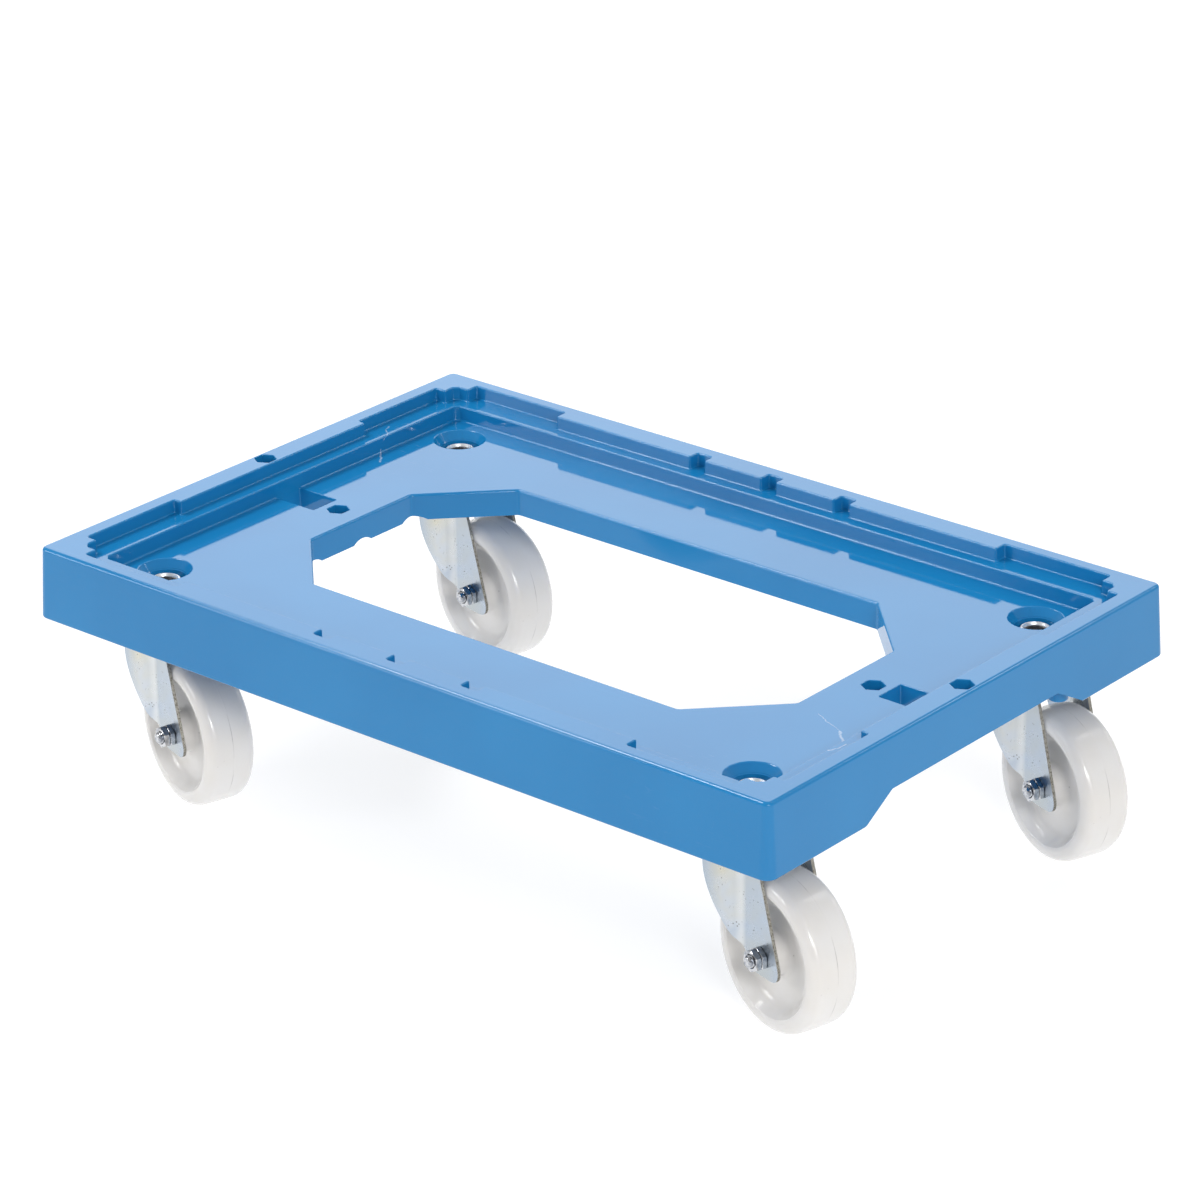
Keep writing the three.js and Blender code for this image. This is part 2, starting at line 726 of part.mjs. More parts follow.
for (const { name, sideX, sideY, yaw } of STOPPED_AT) {
  const made = castor(name);
  made.position.set(sideX * CASTOR_X, sideY * CASTOR_Y, 0);
  made.rotation.z = THREE.MathUtils.degToRad(yaw);
  group.add(made);
}

export default group;
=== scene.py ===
import json
import math

import bmesh
import bpy
from mathutils import Matrix, Vector


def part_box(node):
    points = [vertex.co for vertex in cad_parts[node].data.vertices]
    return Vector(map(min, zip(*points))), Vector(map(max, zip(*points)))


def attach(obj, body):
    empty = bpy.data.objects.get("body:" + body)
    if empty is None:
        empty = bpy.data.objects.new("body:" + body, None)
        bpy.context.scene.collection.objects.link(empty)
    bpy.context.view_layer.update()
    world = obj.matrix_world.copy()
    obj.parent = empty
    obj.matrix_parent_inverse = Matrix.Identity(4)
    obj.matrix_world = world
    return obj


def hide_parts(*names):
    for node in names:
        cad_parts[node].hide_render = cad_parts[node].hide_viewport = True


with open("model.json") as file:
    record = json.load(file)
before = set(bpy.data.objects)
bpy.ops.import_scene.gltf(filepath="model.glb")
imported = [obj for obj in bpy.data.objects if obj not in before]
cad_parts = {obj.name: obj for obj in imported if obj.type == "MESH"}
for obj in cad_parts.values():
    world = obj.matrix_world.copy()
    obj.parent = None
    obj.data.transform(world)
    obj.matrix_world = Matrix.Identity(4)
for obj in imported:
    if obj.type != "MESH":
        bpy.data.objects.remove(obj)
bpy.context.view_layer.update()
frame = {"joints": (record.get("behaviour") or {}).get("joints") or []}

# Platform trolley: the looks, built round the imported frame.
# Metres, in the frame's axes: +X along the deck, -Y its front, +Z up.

# ---- measures, in millimetres until they meet a mesh ----

MM = 0.001

DECK_LENGTH = 610
DECK_WIDTH = 410
DECK_CORNER = 8
DECK_DRAFT = 2.8
DECK_EDGE = 2.6
SKIRT_EDGE = 1.7
SKIRT_BOTTOM = 121
RIM_TOP = 170.5
LEDGE = 161.2
FLOOR = 150.5
WALL = 3
FLOOR_HALF_X = 272
FLOOR_HALF_Y = 172.5
FLOOR_CHAMFER = 3
FLOOR_CORNER = 2.5
FLOOR_FILLET = 1.3
LEDGE_FILLET = 0.9
RECESS_CORNER = 1.4
RECESS_EDGE = 1.2

RIM_THICK_X = 283.5
RIM_THIN_X = 289.5
RIM_THICK_Y = 182
RIM_THIN_Y = 191.5
END_PAD_HALF = 90.5
SIDE_PAD_HALF = 187.5
CORNER_X = 269.5
CORNER_Y = 170.5
CORNER_STEP = 11.5
CORNER_CHAMFER = 3.5
NOTCH_PITCH = 61.5
NOTCH_WIDTH = 12
NOTCH_Y = 190.5

OPENING_HALF_X = 204
OPENING_HALF_Y = 101
OPENING_CHAMFER_X = 51.4
OPENING_CHAMFER_Y = 52
OPENING_CORNER = 4.5
OPENING_EDGE = 1.8
COLLAR_BOTTOM = 132
COLLAR_NOTCH_WIDTH = 17
COLLAR_NOTCH_HEIGHT = 3
SLOT_INNER_X = 238
SLOT_MIDDLE_X = (FLOOR_HALF_X + SLOT_INNER_X) / 2
SLOT_HALF_Y = 11.3
SLOT_CORNER = 0.8
SLOT_EDGE = 0.7
HEX_ACROSS_FLATS = 13.5
HEX_DEPTH = 12
HEX_CORNER = 0.7
HEX_EDGE = 0.6
FLOOR_HEX_X = 225.5
RIM_HEX_X = 292.5
RIM_BLOCK_WIDTH = 22

CUTOUT_HALF_BOTTOM = 114
CUTOUT_HALF_TOP = 85.5
CUTOUT_TOP = 136.5
CUTOUT_CORNER = 4
END_BOSS_X = 290.5
END_BOSS_Y = 106
END_BOSS_RADIUS = 6.5
END_BOSS_BOTTOM = 121.5
RIB_THICKNESS = 2.5
RIB_BOTTOM = 135.3

CASTOR_X = 245.2
CASTOR_Y = 145
RIB_PITCH_X = CASTOR_X / 5
RIB_PITCH_Y = CASTOR_Y / 3
TRAIL = 36
WHEEL_RADIUS = 50
WHEEL_HALF_WIDTH = 17
HUB_HALF_LENGTH = 17.4
SHEET = 2.2
FORK_HALF_GAP = 17.7
FORK_JOGGLE = 4
CROWN_TOP = 114.9
CROWN_RADIUS = 26.5
SEAT = 125.5
SHELF = 130
WELL_RADIUS = 13.8
WELL_MOUTH_RADIUS = 18.25
WELL_MOUTH_DEPTH = 5.3
WELL_LIP = 1.3
BOSS_RADIUS = 27
BOLT_RADIUS = 6
BOLT_FLATS = 18
BOLT_HEAD_HEIGHT = 7.5
BOLT_PITCH = 1.75
WASHER_RADIUS = 12
WASHER_THICKNESS = 1.4
NUT_FLATS = 22
NUT_TOP = 144
COLLAR_HEIGHT = 4
NUT_COLLAR_RADIUS = 10.3
INSERT_RADIUS = 7.2
INSERT_TOP = 142.2
BOLT_TIP = 141
KING_PIN_RADIUS = 9.4
FLANGE_RADIUS = 15
FLANGE_THICKNESS = 2.7
RACE_RADIUS = 25.5
BALL_CIRCLE = 17
BALL_RADIUS = 2.3
BALL_COUNT = 9
AXLE_RADIUS = 4
AXLE_PITCH = 1.25
AXLE_TIP = 30.5
AXLE_HEAD_HEIGHT = 5.3
AXLE_NUT_FLATS = 13
AXLE_NUT_HEIGHT = 4
JAM_NUT_FLATS = 13.6
JAM_NUT_HEIGHT = 3.4
BUSH_RADIUS = 6.1
GAP = 0.3

# ---- places that come from the frame ----

JOINTS = {joint["name"]: Vector(joint["pos_m"]) for joint in frame["joints"]}
PLACES = ["front_left", "back_left", "back_right", "front_right"]

deck_low, deck_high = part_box("deck")
DECK_MIDDLE = Vector(((deck_low.x + deck_high.x) / 2, (deck_low.y + deck_high.y) / 2, 0))


def castor_place(place):
    """Where a castor's swivel axis meets the ground, with local X the way it trails."""
    swivel = JOINTS[f"{place}_swivel"]
    trail = JOINTS[f"{place}_wheel_spin"] - swivel
    turn = Matrix.Rotation(math.atan2(trail.y, trail.x), 4, "Z")
    return Matrix.Translation((swivel.x, swivel.y, 0)) @ turn


def axle_place(place):
    """The same axes, moved to the middle of the wheel."""
    turn = castor_place(place).to_3x3().to_4x4()
    return Matrix.Translation(JOINTS[f"{place}_wheel_spin"]) @ turn


# ---- outlines, in millimetres ----


def rounded(corners, radius, steps=4):
    """A closed outline with its corners turned into arcs. A corner may bring its own radius."""
    outline = []
    for i, corner in enumerate(corners):
        here = Vector(corner[:2])
        own = corner[2] if len(corner) > 2 else radius
        back = (Vector(corners[i - 1][:2]) - here).normalized()
        ahead = (Vector(corners[(i + 1) % len(corners)][:2]) - here).normalized()
        half = back.angle(ahead) / 2
        centre = here + (back + ahead).normalized() * own / math.sin(half)
        start = here + back * own / math.tan(half) - centre
        turn = start.angle_signed(here + ahead * own / math.tan(half) - centre)
        for k in range(steps + 1):
            spoke = start.copy()
            spoke.rotate(Matrix.Rotation(-turn * k / steps, 2))
            outline.append(centre + spoke)
    return outline


def grown(outline, distance):
    """The same outline with every edge moved out by one distance."""
    count = len(outline)
    normals = []
    for i, point in enumerate(outline):
        edge = outline[(i + 1) % count] - point
        normals.append(Vector((edge.y, -edge.x)).normalized())
    found = []
    for i, point in enumerate(outline):
        before, after = normals[i - 1], normals[i]
        found.append(point + (before + after) * distance / (1 + before.dot(after)))
    return found


def four_quarters(quarter):
    """The whole outline from the corners of its quarter with x > 0 and y > 0."""
    flipped = quarter[::-1]
    return (
        quarter
        + [(-x, y) for x, y in flipped]
        + [(-x, -y) for x, y in quarter]
        + [(x, -y) for x, y in flipped]
    )


def bezier(points, steps):
    """Points on a curve drawn by its control points, without the first."""
    found = []
    for k in range(1, steps + 1):
        t = k / steps
        level = [Vector(p) for p in points]
        while len(level) > 1:
            level = [a.lerp(b, t) for a, b in zip(level, level[1:])]
        found.append(tuple(level[0]))
    return found


def rectangle(length, width):
    x, y = length / 2, width / 2
    return [Vector(corner) for corner in ((x, y), (-x, y), (-x, -y), (x, -y))]


def hexagon(across_flats):
    """A hexagon with two corners on the Y axis."""
    radius = across_flats / math.sqrt(3)
    angles = [math.pi / 2 + k * math.pi / 3 for k in range(6)]
    return [Vector((radius * math.cos(a), radius * math.sin(a))) for a in angles]


# ---- rounded edges, as [height, growth] layers ----


def quarter_turn(steps):
    return [k * math.pi / 2 / steps for k in range(steps + 1)]


def mouth(top, radius, above, steps=5):
    """A pocket's mouth: a rounded edge at the height top, then straight up to above."""
    edge = [
        (top - radius + radius * math.sin(t), radius * (1 - math.cos(t)))
        for t in quarter_turn(steps)
    ]
    return edge + [(above, radius)]


def foot(bottom, radius, steps=4):
    """A pocket's floor, meeting the walls in a hollow fillet."""
    return [
        (bottom + radius - radius * math.cos(t), radius * (math.sin(t) - 1))
        for t in quarter_turn(steps)
    ]


def brow(top, radius, lean, steps=7):
    """A block's top edge, rounded over towards its middle."""
    return [
        (top - radius + radius * math.sin(t), -lean - radius * (1 - math.cos(t)))
        for t in quarter_turn(steps)
    ]


# ---- meshes ----


def new_object(name, data):
    made = bpy.data.objects.new(name, data)
    bpy.context.scene.collection.objects.link(made)
    return made


def mesh_object(name, points, faces, scale=MM):
    mesh = bpy.data.meshes.new(name)
    mesh.from_pydata([tuple(c * scale for c in p) for p in points], [], faces)
    mesh.validate()
    return new_object(name, mesh)


def stack(name, outline, layers):
    """A closed solid: the outline at each height, grown by that layer's amount."""
    count = len(outline)
    points = []
    faces = []
    for z, growth in layers:
        points += [(p.x, p.y, z) for p in grown(outline, growth)]
    for layer in range(len(layers) - 1):
        low = layer * count
        high = low + count
        for i in range(count):
            j = (i + 1) % count
            faces.append((low + i, low + j, high + j, high + i))
    faces.append(tuple(reversed(range(count))))
    faces.append(tuple(range(len(points) - count, len(points))))
    return mesh_object(name, points, faces)


def revolved(name, profile, segments=64, axis="Z"):
    """A closed ring turned about an axis. The profile is a loop of (radius, along) points,
    anticlockwise with the radius to the right; points on the axis become single points."""
    points = []
    rings = []
    for radius, along in profile:
        if radius == 0:
            rings.append([len(points)] * segments)
            points.append((0, 0, along))
            continue
        rings.append(list(range(len(points), len(points) + segments)))
        for k in range(segments):
            angle = 2 * math.pi * k / segments
            points.append((radius * math.cos(angle), radius * math.sin(angle), along))
    faces = []
    on_axis = profile[0][0] == 0 and profile[-1][0] == 0
    for i in range(len(rings) - (1 if on_axis else 0)):
        low, high = rings[i], rings[(i + 1) % len(rings)]
        for k in range(segments):
            n = (k + 1) % segments
            loop = [low[k], low[n], high[n], high[k]]
            faces.append(tuple(dict.fromkeys(loop)))
    if axis == "Y":
        points = [(x, z, -y) for x, y, z in points]
    return mesh_object(name, points, faces)


def cylinder_profile(radius, bottom, top):
    return [(0, bottom), (radius, bottom), (radius, top), (0, top)]


def arc(middle, radius, start, end, steps=5):
    """Points (radius, along) on an arc; angles in degrees from the outward direction."""
    found = []
    for k in range(steps + 1):
        angle = math.radians(start + (end - start) * k / steps)
        out, along = radius * math.cos(angle), radius * math.sin(angle)
        found.append((middle[0] + out, middle[1] + along))
    return found


def apply_modifiers(piece):
    """Turns a piece's modifiers into its mesh."""
    graph = bpy.context.evaluated_depsgraph_get()
    made = bpy.data.meshes.new_from_object(piece.evaluated_get(graph))
    made.materials.clear()
    old = piece.data
    piece.modifiers.clear()
    piece.data = made
    bpy.data.meshes.remove(old)
    return piece


def combine(piece, others, operation):
    """Cuts or joins other solids into a piece, one after another, and uses them up."""
    for other in others:
        step = piece.modifiers.new("combine", "BOOLEAN")
        step.object = other
        step.operation = operation
        step.solver = "MANIFOLD"
        apply_modifiers(piece)
        bpy.data.objects.remove(other)
    return piece


def cut(piece, others):
    return combine(piece, others, "DIFFERENCE")


def join(piece, others):
    return combine(piece, others, "UNION")


def shade(piece, angle=30, weighted=False):
    """Smooth faces with crisp edges wherever the surface turns by more than an angle."""
    piece.data.polygons.foreach_set("use_smooth", [True] * len(piece.data.polygons))
    piece.data.set_sharp_from_angle(angle=math.radians(angle))
    if weighted:
        step = piece.modifiers.new("normals", "WEIGHTED_NORMAL")
        step.keep_sharp = True
        apply_modifiers(piece)
    return piece


def moved(piece, x, y, z=0):
    piece.data.transform(Matrix.Translation(Vector((x, y, z)) * MM))
    return piece


def turned_round(piece):
    piece.data.transform(Matrix.Rotation(math.pi, 4, "Z"))
    return piece


# ---- materials ----


class Finish:
    """A Principled material with the few nodes that its look needs."""

    def __init__(self, name, color, roughness, metallic=0.0, ior=1.5):
        self.material = bpy.data.materials.new(name)
        self.material.use_nodes = True
        self.tree = self.material.node_tree
        self.shader = self.tree.nodes["Principled BSDF"]
        self.set("Base Color", (*color, 1))
        self.set("Roughness", roughness)
        self.set("Metallic", metallic)
        self.set("IOR", ior)
        self.place = self.tree.nodes.new("ShaderNodeTexCoord").outputs["Object"]

    def node(self, kind, inputs=None, **settings):
        made = self.tree.nodes.new(kind)
        for key, value in settings.items():
            setattr(made, key, value)
        for key, value in (inputs or {}).items():
            self.feed(made.inputs[key], value)
        return made

    def feed(self, socket, value):
        if isinstance(value, bpy.types.NodeSocket):
            self.tree.links.new(value, socket)
        else:
            socket.default_value = value

    def stretched(self, scale, location=(0, 0, 0)):
        """Object coordinates in metres, stretched before a texture reads them."""
        inputs = {"Vector": self.place, "Location": location, "Scale": scale}
        return self.node("ShaderNodeMapping", inputs).outputs["Vector"]

    def noise(self, scale, detail=3.0, roughness=0.55, vector=None, distortion=0.0):
        inputs = {"Vector": vector or self.place, "Scale": scale, "Detail": detail}
        inputs |= {"Roughness": roughness, "Distortion": distortion}
        return self.node("ShaderNodeTexNoise", inputs).outputs["Fac"]

    def ramp(self, value, low, high, to_low=0.0, to_high=1.0):
        """A value taken from one range to another, and held at its ends."""
        inputs = {"Value": value, "From Min": low, "From Max": high}
        inputs |= {"To Min": to_low, "To Max": to_high}
        return self.node("ShaderNodeMapRange", inputs, clamp=True).outputs["Result"]

    def math(self, operation, a, b=0.0):
        return self.node("ShaderNodeMath", {0: a, 1: b}, operation=operation).outputs[0]

    def blend(self, amount, a, b):
        """One colour going over to another."""
        mix = self.node("ShaderNodeMix", data_type="RGBA")
        sockets = {socket.name: socket for socket in mix.inputs if socket.enabled}
        self.feed(sockets["Factor"], amount)
        self.feed(sockets["A"], (*a, 1) if isinstance(a, tuple) else a)
        self.feed(sockets["B"], (*b, 1) if isinstance(b, tuple) else b)
        return next(socket for socket in mix.outputs if socket.enabled)

    def vector(self, operation, *vectors, **numbers):
        """Arithmetic with vectors. The result is the one output that the operation has."""
        inputs = {**dict(enumerate(vectors)), **numbers}
        made = self.node("ShaderNodeVectorMath", inputs, operation=operation)
        return next(socket for socket in made.outputs if socket.enabled)

    def near(self, centre, reach):
        """1 at a point of the object, falling to 0 at a distance."""
        return self.ramp(self.vector("DISTANCE", self.place, centre), 0.0, reach, 1.0, 0.0)

    def streak(self, start, end, reach):
        """1 along a wavering scratch between two points, falling to 0 beside it."""
        sway = 0.003
        wave = self.node("ShaderNodeTexNoise", {"Vector": self.place, "Scale": 90.0})
        spread, middle = (2 * sway, 2 * sway, 0.0), (-sway, -sway, 0.0)
        offset = self.vector("MULTIPLY_ADD", wave.outputs["Color"], spread, middle)
        here = self.vector("SUBTRACT", self.vector("ADD", self.place, offset), start)
        run = Vector(end) - Vector(start)
        part = self.vector("DOT_PRODUCT", here, tuple(run / run.length_squared))
        nearest = self.vector("SCALE", tuple(run), Scale=self.ramp(part, 0.0, 1.0))
        away = self.vector("DISTANCE", here, nearest)
        return self.ramp(away, 0.3 * reach, reach, 1.0, 0.0)

    def bump(self, height, distance, strength=1.0, over=None):
        inputs = {"Height": height, "Distance": distance, "Strength": strength}
        if over is not None:
            inputs["Normal"] = over
        return self.node("ShaderNodeBump", inputs).outputs["Normal"]

    def set(self, socket, value):
        self.feed(self.shader.inputs[socket], value)


# Wear on the deck, from the deck's middle in metres. Rubbed patches: centre and reach.
RUBBED = [((-0.262, 0.10, 0.155), 0.075), ((0.245, -0.165, 0.155), 0.07)]

# Deep scratches: start, end, reach and strength.
SCRATCHES = [
    ((0.249, -0.066, 0.1505), (0.2615, -0.078, 0.1505), 0.0012, 0.4),
    ((0.224, -0.054, 0.1505), (0.249, -0.066, 0.1505), 0.0004, 0.3),
    ((0.2738, -0.108, 0.1612), (0.2765, -0.095, 0.1612), 0.0008, 0.4),
    ((-0.282, 0.113, 0.1612), (-0.272, 0.098, 0.1612), 0.0007, 0.4),
    ((-0.272, 0.098, 0.1612), (-0.2715, 0.092, 0.1505), 0.0006, 0.45),
    ((-0.2715, 0.092, 0.1505), (-0.2605, 0.080, 0.1505), 0.0008, 0.5),
]


def deck_plastic():
    """Glossy blue moulding: faint flow shades, a fine skin, light scuffs and rubbed patches."""
    blue = (0.0095, 0.193, 0.450)
    deep = (0.0075, 0.177, 0.422)
    scuffed = (0.30, 0.46, 0.66)
    whitened = (0.66, 0.72, 0.80)
    f = Finish("deck_plastic", blue, 0.1, ior=1.45)
    flow = f.noise(9.0, 2.0)
    color = f.blend(f.ramp(flow, 0.35, 0.65), blue, deep)
    fine_scratches = f.noise(60.0, 4.0, 0.6, f.stretched((1.0, 14.0, 4.0)))
    crossing = f.noise(55.0, 4.0, 0.6, f.stretched((15.0, 1.2, 4.0), (3, 1, 0)))
    lines = f.math("MAXIMUM", f.ramp(fine_scratches, 0.64, 0.74), f.ramp(crossing, 0.66, 0.76))
    handled = f.math("ADD", *[f.near(centre, reach) for centre, reach in RUBBED])
    scuffs = f.math("MULTIPLY", lines, f.math("MULTIPLY", handled, f.ramp(flow, 0.4, 0.6)))
    color = f.blend(f.math("MULTIPLY", scuffs, 0.3), color, scuffed)
    for start, end, reach, strength in SCRATCHES:
        worn = f.math("MULTIPLY", f.streak(start, end, reach), strength)
        color = f.blend(f.math("MULTIPLY", worn, f.ramp(crossing, 0.35, 0.5)), color, whitened)
    f.set("Base Color", color)
    haze = f.ramp(f.noise(30.0, 4.0), 0.3, 0.75, 0.04, 0.08)
    f.set("Roughness", f.math("ADD", haze, f.math("MULTIPLY", scuffs, 0.3)))
    skin = f.bump(f.noise(900.0, 2.0), 0.00002, 0.12)
    waves = f.bump(f.noise(16.0, 1.0), 0.0006, 0.12, skin)
    f.set("Normal", f.bump(lines, 0.00003, 0.08, waves))
    return f.material


def wheel_plastic():
    """Pale nylon: a soft gloss, a few dark specks, a dirty mould line round the tread, and a
    faint painted glow that lightens its shade.
    """
    pale = (0.68, 0.67, 0.66)
    warm = (0.66, 0.64, 0.615)
    speck = (0.10, 0.09, 0.085)
    f = Finish("wheel_plastic", pale, 0.2)
    f.set("Subsurface Weight", 0.8)
    f.set("Subsurface Radius", (0.011, 0.011, 0.012))
    # Painted light: a faint white glow that lifts the wheel's shaded parts, though nylon gives
    # no light.
    f.set("Emission Color", (1.0, 0.99, 0.98, 1))
    f.set("Emission Strength", 0.06)
    clouds = f.noise(28.0, 3.0)
    color = f.blend(f.ramp(clouds, 0.4, 0.7), pale, warm)
    cells = f.node("ShaderNodeTexVoronoi", {"Vector": f.place, "Scale": 260.0})
    chosen = f.ramp(f.noise(85.0, 1.0), 0.66, 0.70)
    specks = f.math("MULTIPLY", f.ramp(cells.outputs["Distance"], 0.16, 0.08), chosen)
    across = f.node("ShaderNodeSeparateXYZ", {"Vector": f.place}).outputs["Y"]
    line = f.ramp(f.math("ABSOLUTE", across), 0.0004, 0.0001)
    broken = f.ramp(f.noise(40.0, 3.0), 0.46, 0.62, 0.0, 0.4)
    dirt = f.math("MAXIMUM", f.math("MULTIPLY", line, broken), f.math("MULTIPLY", specks, 0.4))
    f.set("Base Color", f.blend(dirt, color, speck))
    f.set("Roughness", f.ramp(f.noise(45.0, 4.0), 0.3, 0.75, 0.12, 0.22))
    turning = f.bump(f.noise(40.0, 3.0, 0.5, f.stretched((1.0, 20.0, 1.0))), 0.0001, 0.06)
    f.set("Normal", f.bump(f.noise(700.0, 2.0), 0.00002, 0.1, turning))
    return f.material


def zinc_sheet():
    """Zinc-plated sheet: blue and straw tints, pin-pricks and dark smears, a painted highlight
    along the fold and painted blue-grey reflection in bands along the sheet.
    """
    silver = (0.545, 0.59, 0.645)
    straw = (0.585, 0.575, 0.50)
    blue = (0.33, 0.42, 0.54)
    fold_highlight = (0.80, 0.81, 0.80)
    pit = (0.13, 0.13, 0.12)
    fold_x = 0.0172
    f = Finish("zinc_sheet", silver, 0.3, 1.0)
    tint = f.noise(22.0, 3.0, 0.5, distortion=0.6)
    color = f.blend(f.ramp(tint, 0.44, 0.60), silver, straw)
    color = f.blend(f.ramp(tint, 0.44, 0.34, 0.0, 0.7), color, blue)
    along = f.node("ShaderNodeSeparateXYZ", {"Vector": f.place}).outputs["X"]
    # Painted reflection and shade: blue-grey bands by place along the sheet, past the fold and
    # darkening towards the rear edge.
    color = f.blend(f.ramp(along, 0.0150, 0.0215, 0.0, 0.45), color, blue)
    color = f.blend(f.ramp(along, 0.0010, -0.0190, 0.0, 0.75), color, blue)
    # Painted highlight: a pale band along the fold, where the bent sheet would catch the light.
    fold = f.ramp(f.math("ABSOLUTE", f.math("SUBTRACT", along, fold_x)), 0.0042, 0.0002)
    color = f.blend(f.math("MULTIPLY", fold, 0.4), color, fold_highlight)
    cells = f.node("ShaderNodeTexVoronoi", {"Vector": f.place, "Scale": 420.0})
    chosen = f.ramp(f.noise(150.0, 2.0), 0.56, 0.62)
    pits = f.math("MULTIPLY", f.ramp(cells.outputs["Distance"], 0.26, 0.12), chosen)
    wrinkles = f.noise(120.0, 5.0, 0.65, f.stretched((1.0, 1.0, 2.2)), 1.4)
    smears = f.math("MULTIPLY", f.ramp(wrinkles, 0.66, 0.72), f.ramp(f.noise(30.0), 0.52, 0.62))
    dark = f.math("MAXIMUM", pits, f.math("MULTIPLY", smears, 0.5))
    f.set("Base Color", f.blend(f.math("MULTIPLY", dark, 0.8), color, pit))
    f.set("Roughness", f.ramp(f.noise(60.0, 5.0), 0.3, 0.7, 0.2, 0.38))
    rolled = f.bump(f.noise(260.0, 4.0, 0.6, f.stretched((1.0, 1.0, 0.25))), 0.00004, 0.25)
    f.set("Normal", f.bump(f.noise(24.0, 2.0), 0.0008, 0.3, rolled))
    return f.material


def sheared_steel():
    """The cut edge of the sheet: torn, brownish and speckled."""
    pale = (0.50, 0.49, 0.44)
    brown = (0.10, 0.085, 0.065)
    f = Finish("sheared_edge", pale, 0.5, 0.85)
    torn = f.noise(650.0, 4.0, 0.75, f.stretched((1.0, 1.6, 1.0)))
    f.set("Base Color", f.blend(f.ramp(torn, 0.42, 0.66, 0.1, 0.9), pale, brown))
    f.set("Roughness", f.ramp(torn, 0.3, 0.7, 0.38, 0.62))
    f.set("Normal", f.bump(torn, 0.00015, 0.5))
    return f.material


def clouded(name, color, other, clouds, metallic, gloss, grain):
    """Clouds of a second colour (scale, detail, noise where they start and are full), an uneven
    gloss (scale, lowest and highest roughness) and a fine grain (scale, detail, height)."""
    f = Finish(name, color, gloss[2], metallic)
    f.set("Base Color", f.blend(f.ramp(f.noise(*clouds[:2]), *clouds[2:]), color, other))
    f.set("Roughness", f.ramp(f.noise(gloss[0], 3.0), 0.3, 0.7, *gloss[1:]))
    f.set("Normal", f.bump(f.noise(*grain[:2]), grain[2], 0.3))
    return f.material


SHEARED_EDGE = sheared_steel()
SATIN_ZINC = clouded(
    "satin_zinc",
    (0.88, 0.88, 0.87),
    (0.70, 0.71, 0.72),
    clouds=(210.0, 3.0, 0.45, 0.75),
    metallic=0.85,
    gloss=(330.0, 0.34, 0.48),
    grain=(800.0, 3.0, 0.00002),
)

SLOTS = {
    "deck_plastic": deck_plastic(),
    "wheel_plastic": wheel_plastic(),
    "zinc_steel": zinc_sheet(),
    "bright_steel": clouded(
        "bright_steel",
        (0.62, 0.63, 0.65),
        (0.36, 0.38, 0.42),
        clouds=(260.0, 2.0, 0.45, 0.62),
        metallic=1.0,
        gloss=(500.0, 0.06, 0.16),
        grain=(900.0, 3.0, 0.00003),
    ),
    "dark_plastic": clouded(
        "dark_plastic",
        (0.022, 0.023, 0.027),
        (0.06, 0.062, 0.07),
        clouds=(260.0, 3.0, 0.45, 0.75),
        metallic=0.0,
        gloss=(400.0, 0.36, 0.55),
        grain=(1200.0, 2.0, 0.00002),
    ),
}


def fit(piece, place, body, node, slot):
    """Puts a finished piece in the frame, on its body, in place of its CAD node."""
    piece.matrix_world = place
    if not piece.data.materials:
        piece.data.materials.append(SLOTS[slot])
    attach(piece, body)
    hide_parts(node)
    return piece


# ---- deck ----


def rim_corners():
    notch_inner = NOTCH_PITCH - NOTCH_WIDTH / 2
    notch_outer = NOTCH_PITCH + NOTCH_WIDTH / 2
    corner_x, corner_y = CORNER_X + CORNER_STEP, CORNER_Y + CORNER_STEP
    quarter = [
        (RIM_THICK_X, END_PAD_HALF),
        (RIM_THIN_X, END_PAD_HALF),
        (RIM_THIN_X, CORNER_Y),
        (corner_x, CORNER_Y),
        (corner_x, corner_y - CORNER_CHAMFER),
        (corner_x - CORNER_CHAMFER, corner_y),
        (CORNER_X, corner_y),
        (CORNER_X, RIM_THIN_Y),
        (SIDE_PAD_HALF, RIM_THIN_Y),
        (SIDE_PAD_HALF, RIM_THICK_Y),
        (notch_outer, RIM_THICK_Y),
        (notch_outer, NOTCH_Y),
        (notch_inner, NOTCH_Y),
        (notch_inner, RIM_THICK_Y),
        (NOTCH_WIDTH / 2, RIM_THICK_Y),
        (NOTCH_WIDTH / 2, NOTCH_Y),
    ]
    return four_quarters(quarter)


def floor_outline():
    quarter = [
        (FLOOR_HALF_X, FLOOR_HALF_Y - FLOOR_CHAMFER),
        (FLOOR_HALF_X - FLOOR_CHAMFER, FLOOR_HALF_Y),
    ]
    return rounded(four_quarters(quarter), FLOOR_CORNER)


def opening_outline():
    quarter = [
        (OPENING_HALF_X, OPENING_HALF_Y - OPENING_CHAMFER_Y),
        (OPENING_HALF_X - OPENING_CHAMFER_X, OPENING_HALF_Y),
    ]
    return rounded(four_quarters(quarter), OPENING_CORNER, 6)


def lean_at(z):
    """How far a side leans in at a height."""
    return DECK_DRAFT * (z - SKIRT_BOTTOM) / (RIM_TOP - SKIRT_BOTTOM)


def outer_block():
    bottom = [
        (SKIRT_BOTTOM + SKIRT_EDGE * (1 - math.sin(t)), -SKIRT_EDGE * (1 - math.cos(t)))
        for t in reversed(quarter_turn(5))
    ]
    top = brow(RIM_TOP, DECK_EDGE, lean_at(RIM_TOP - DECK_EDGE))
    outline = rounded(rectangle(DECK_LENGTH, DECK_WIDTH), DECK_CORNER, 12)
    return stack("deck_moulding", outline, bottom + top)


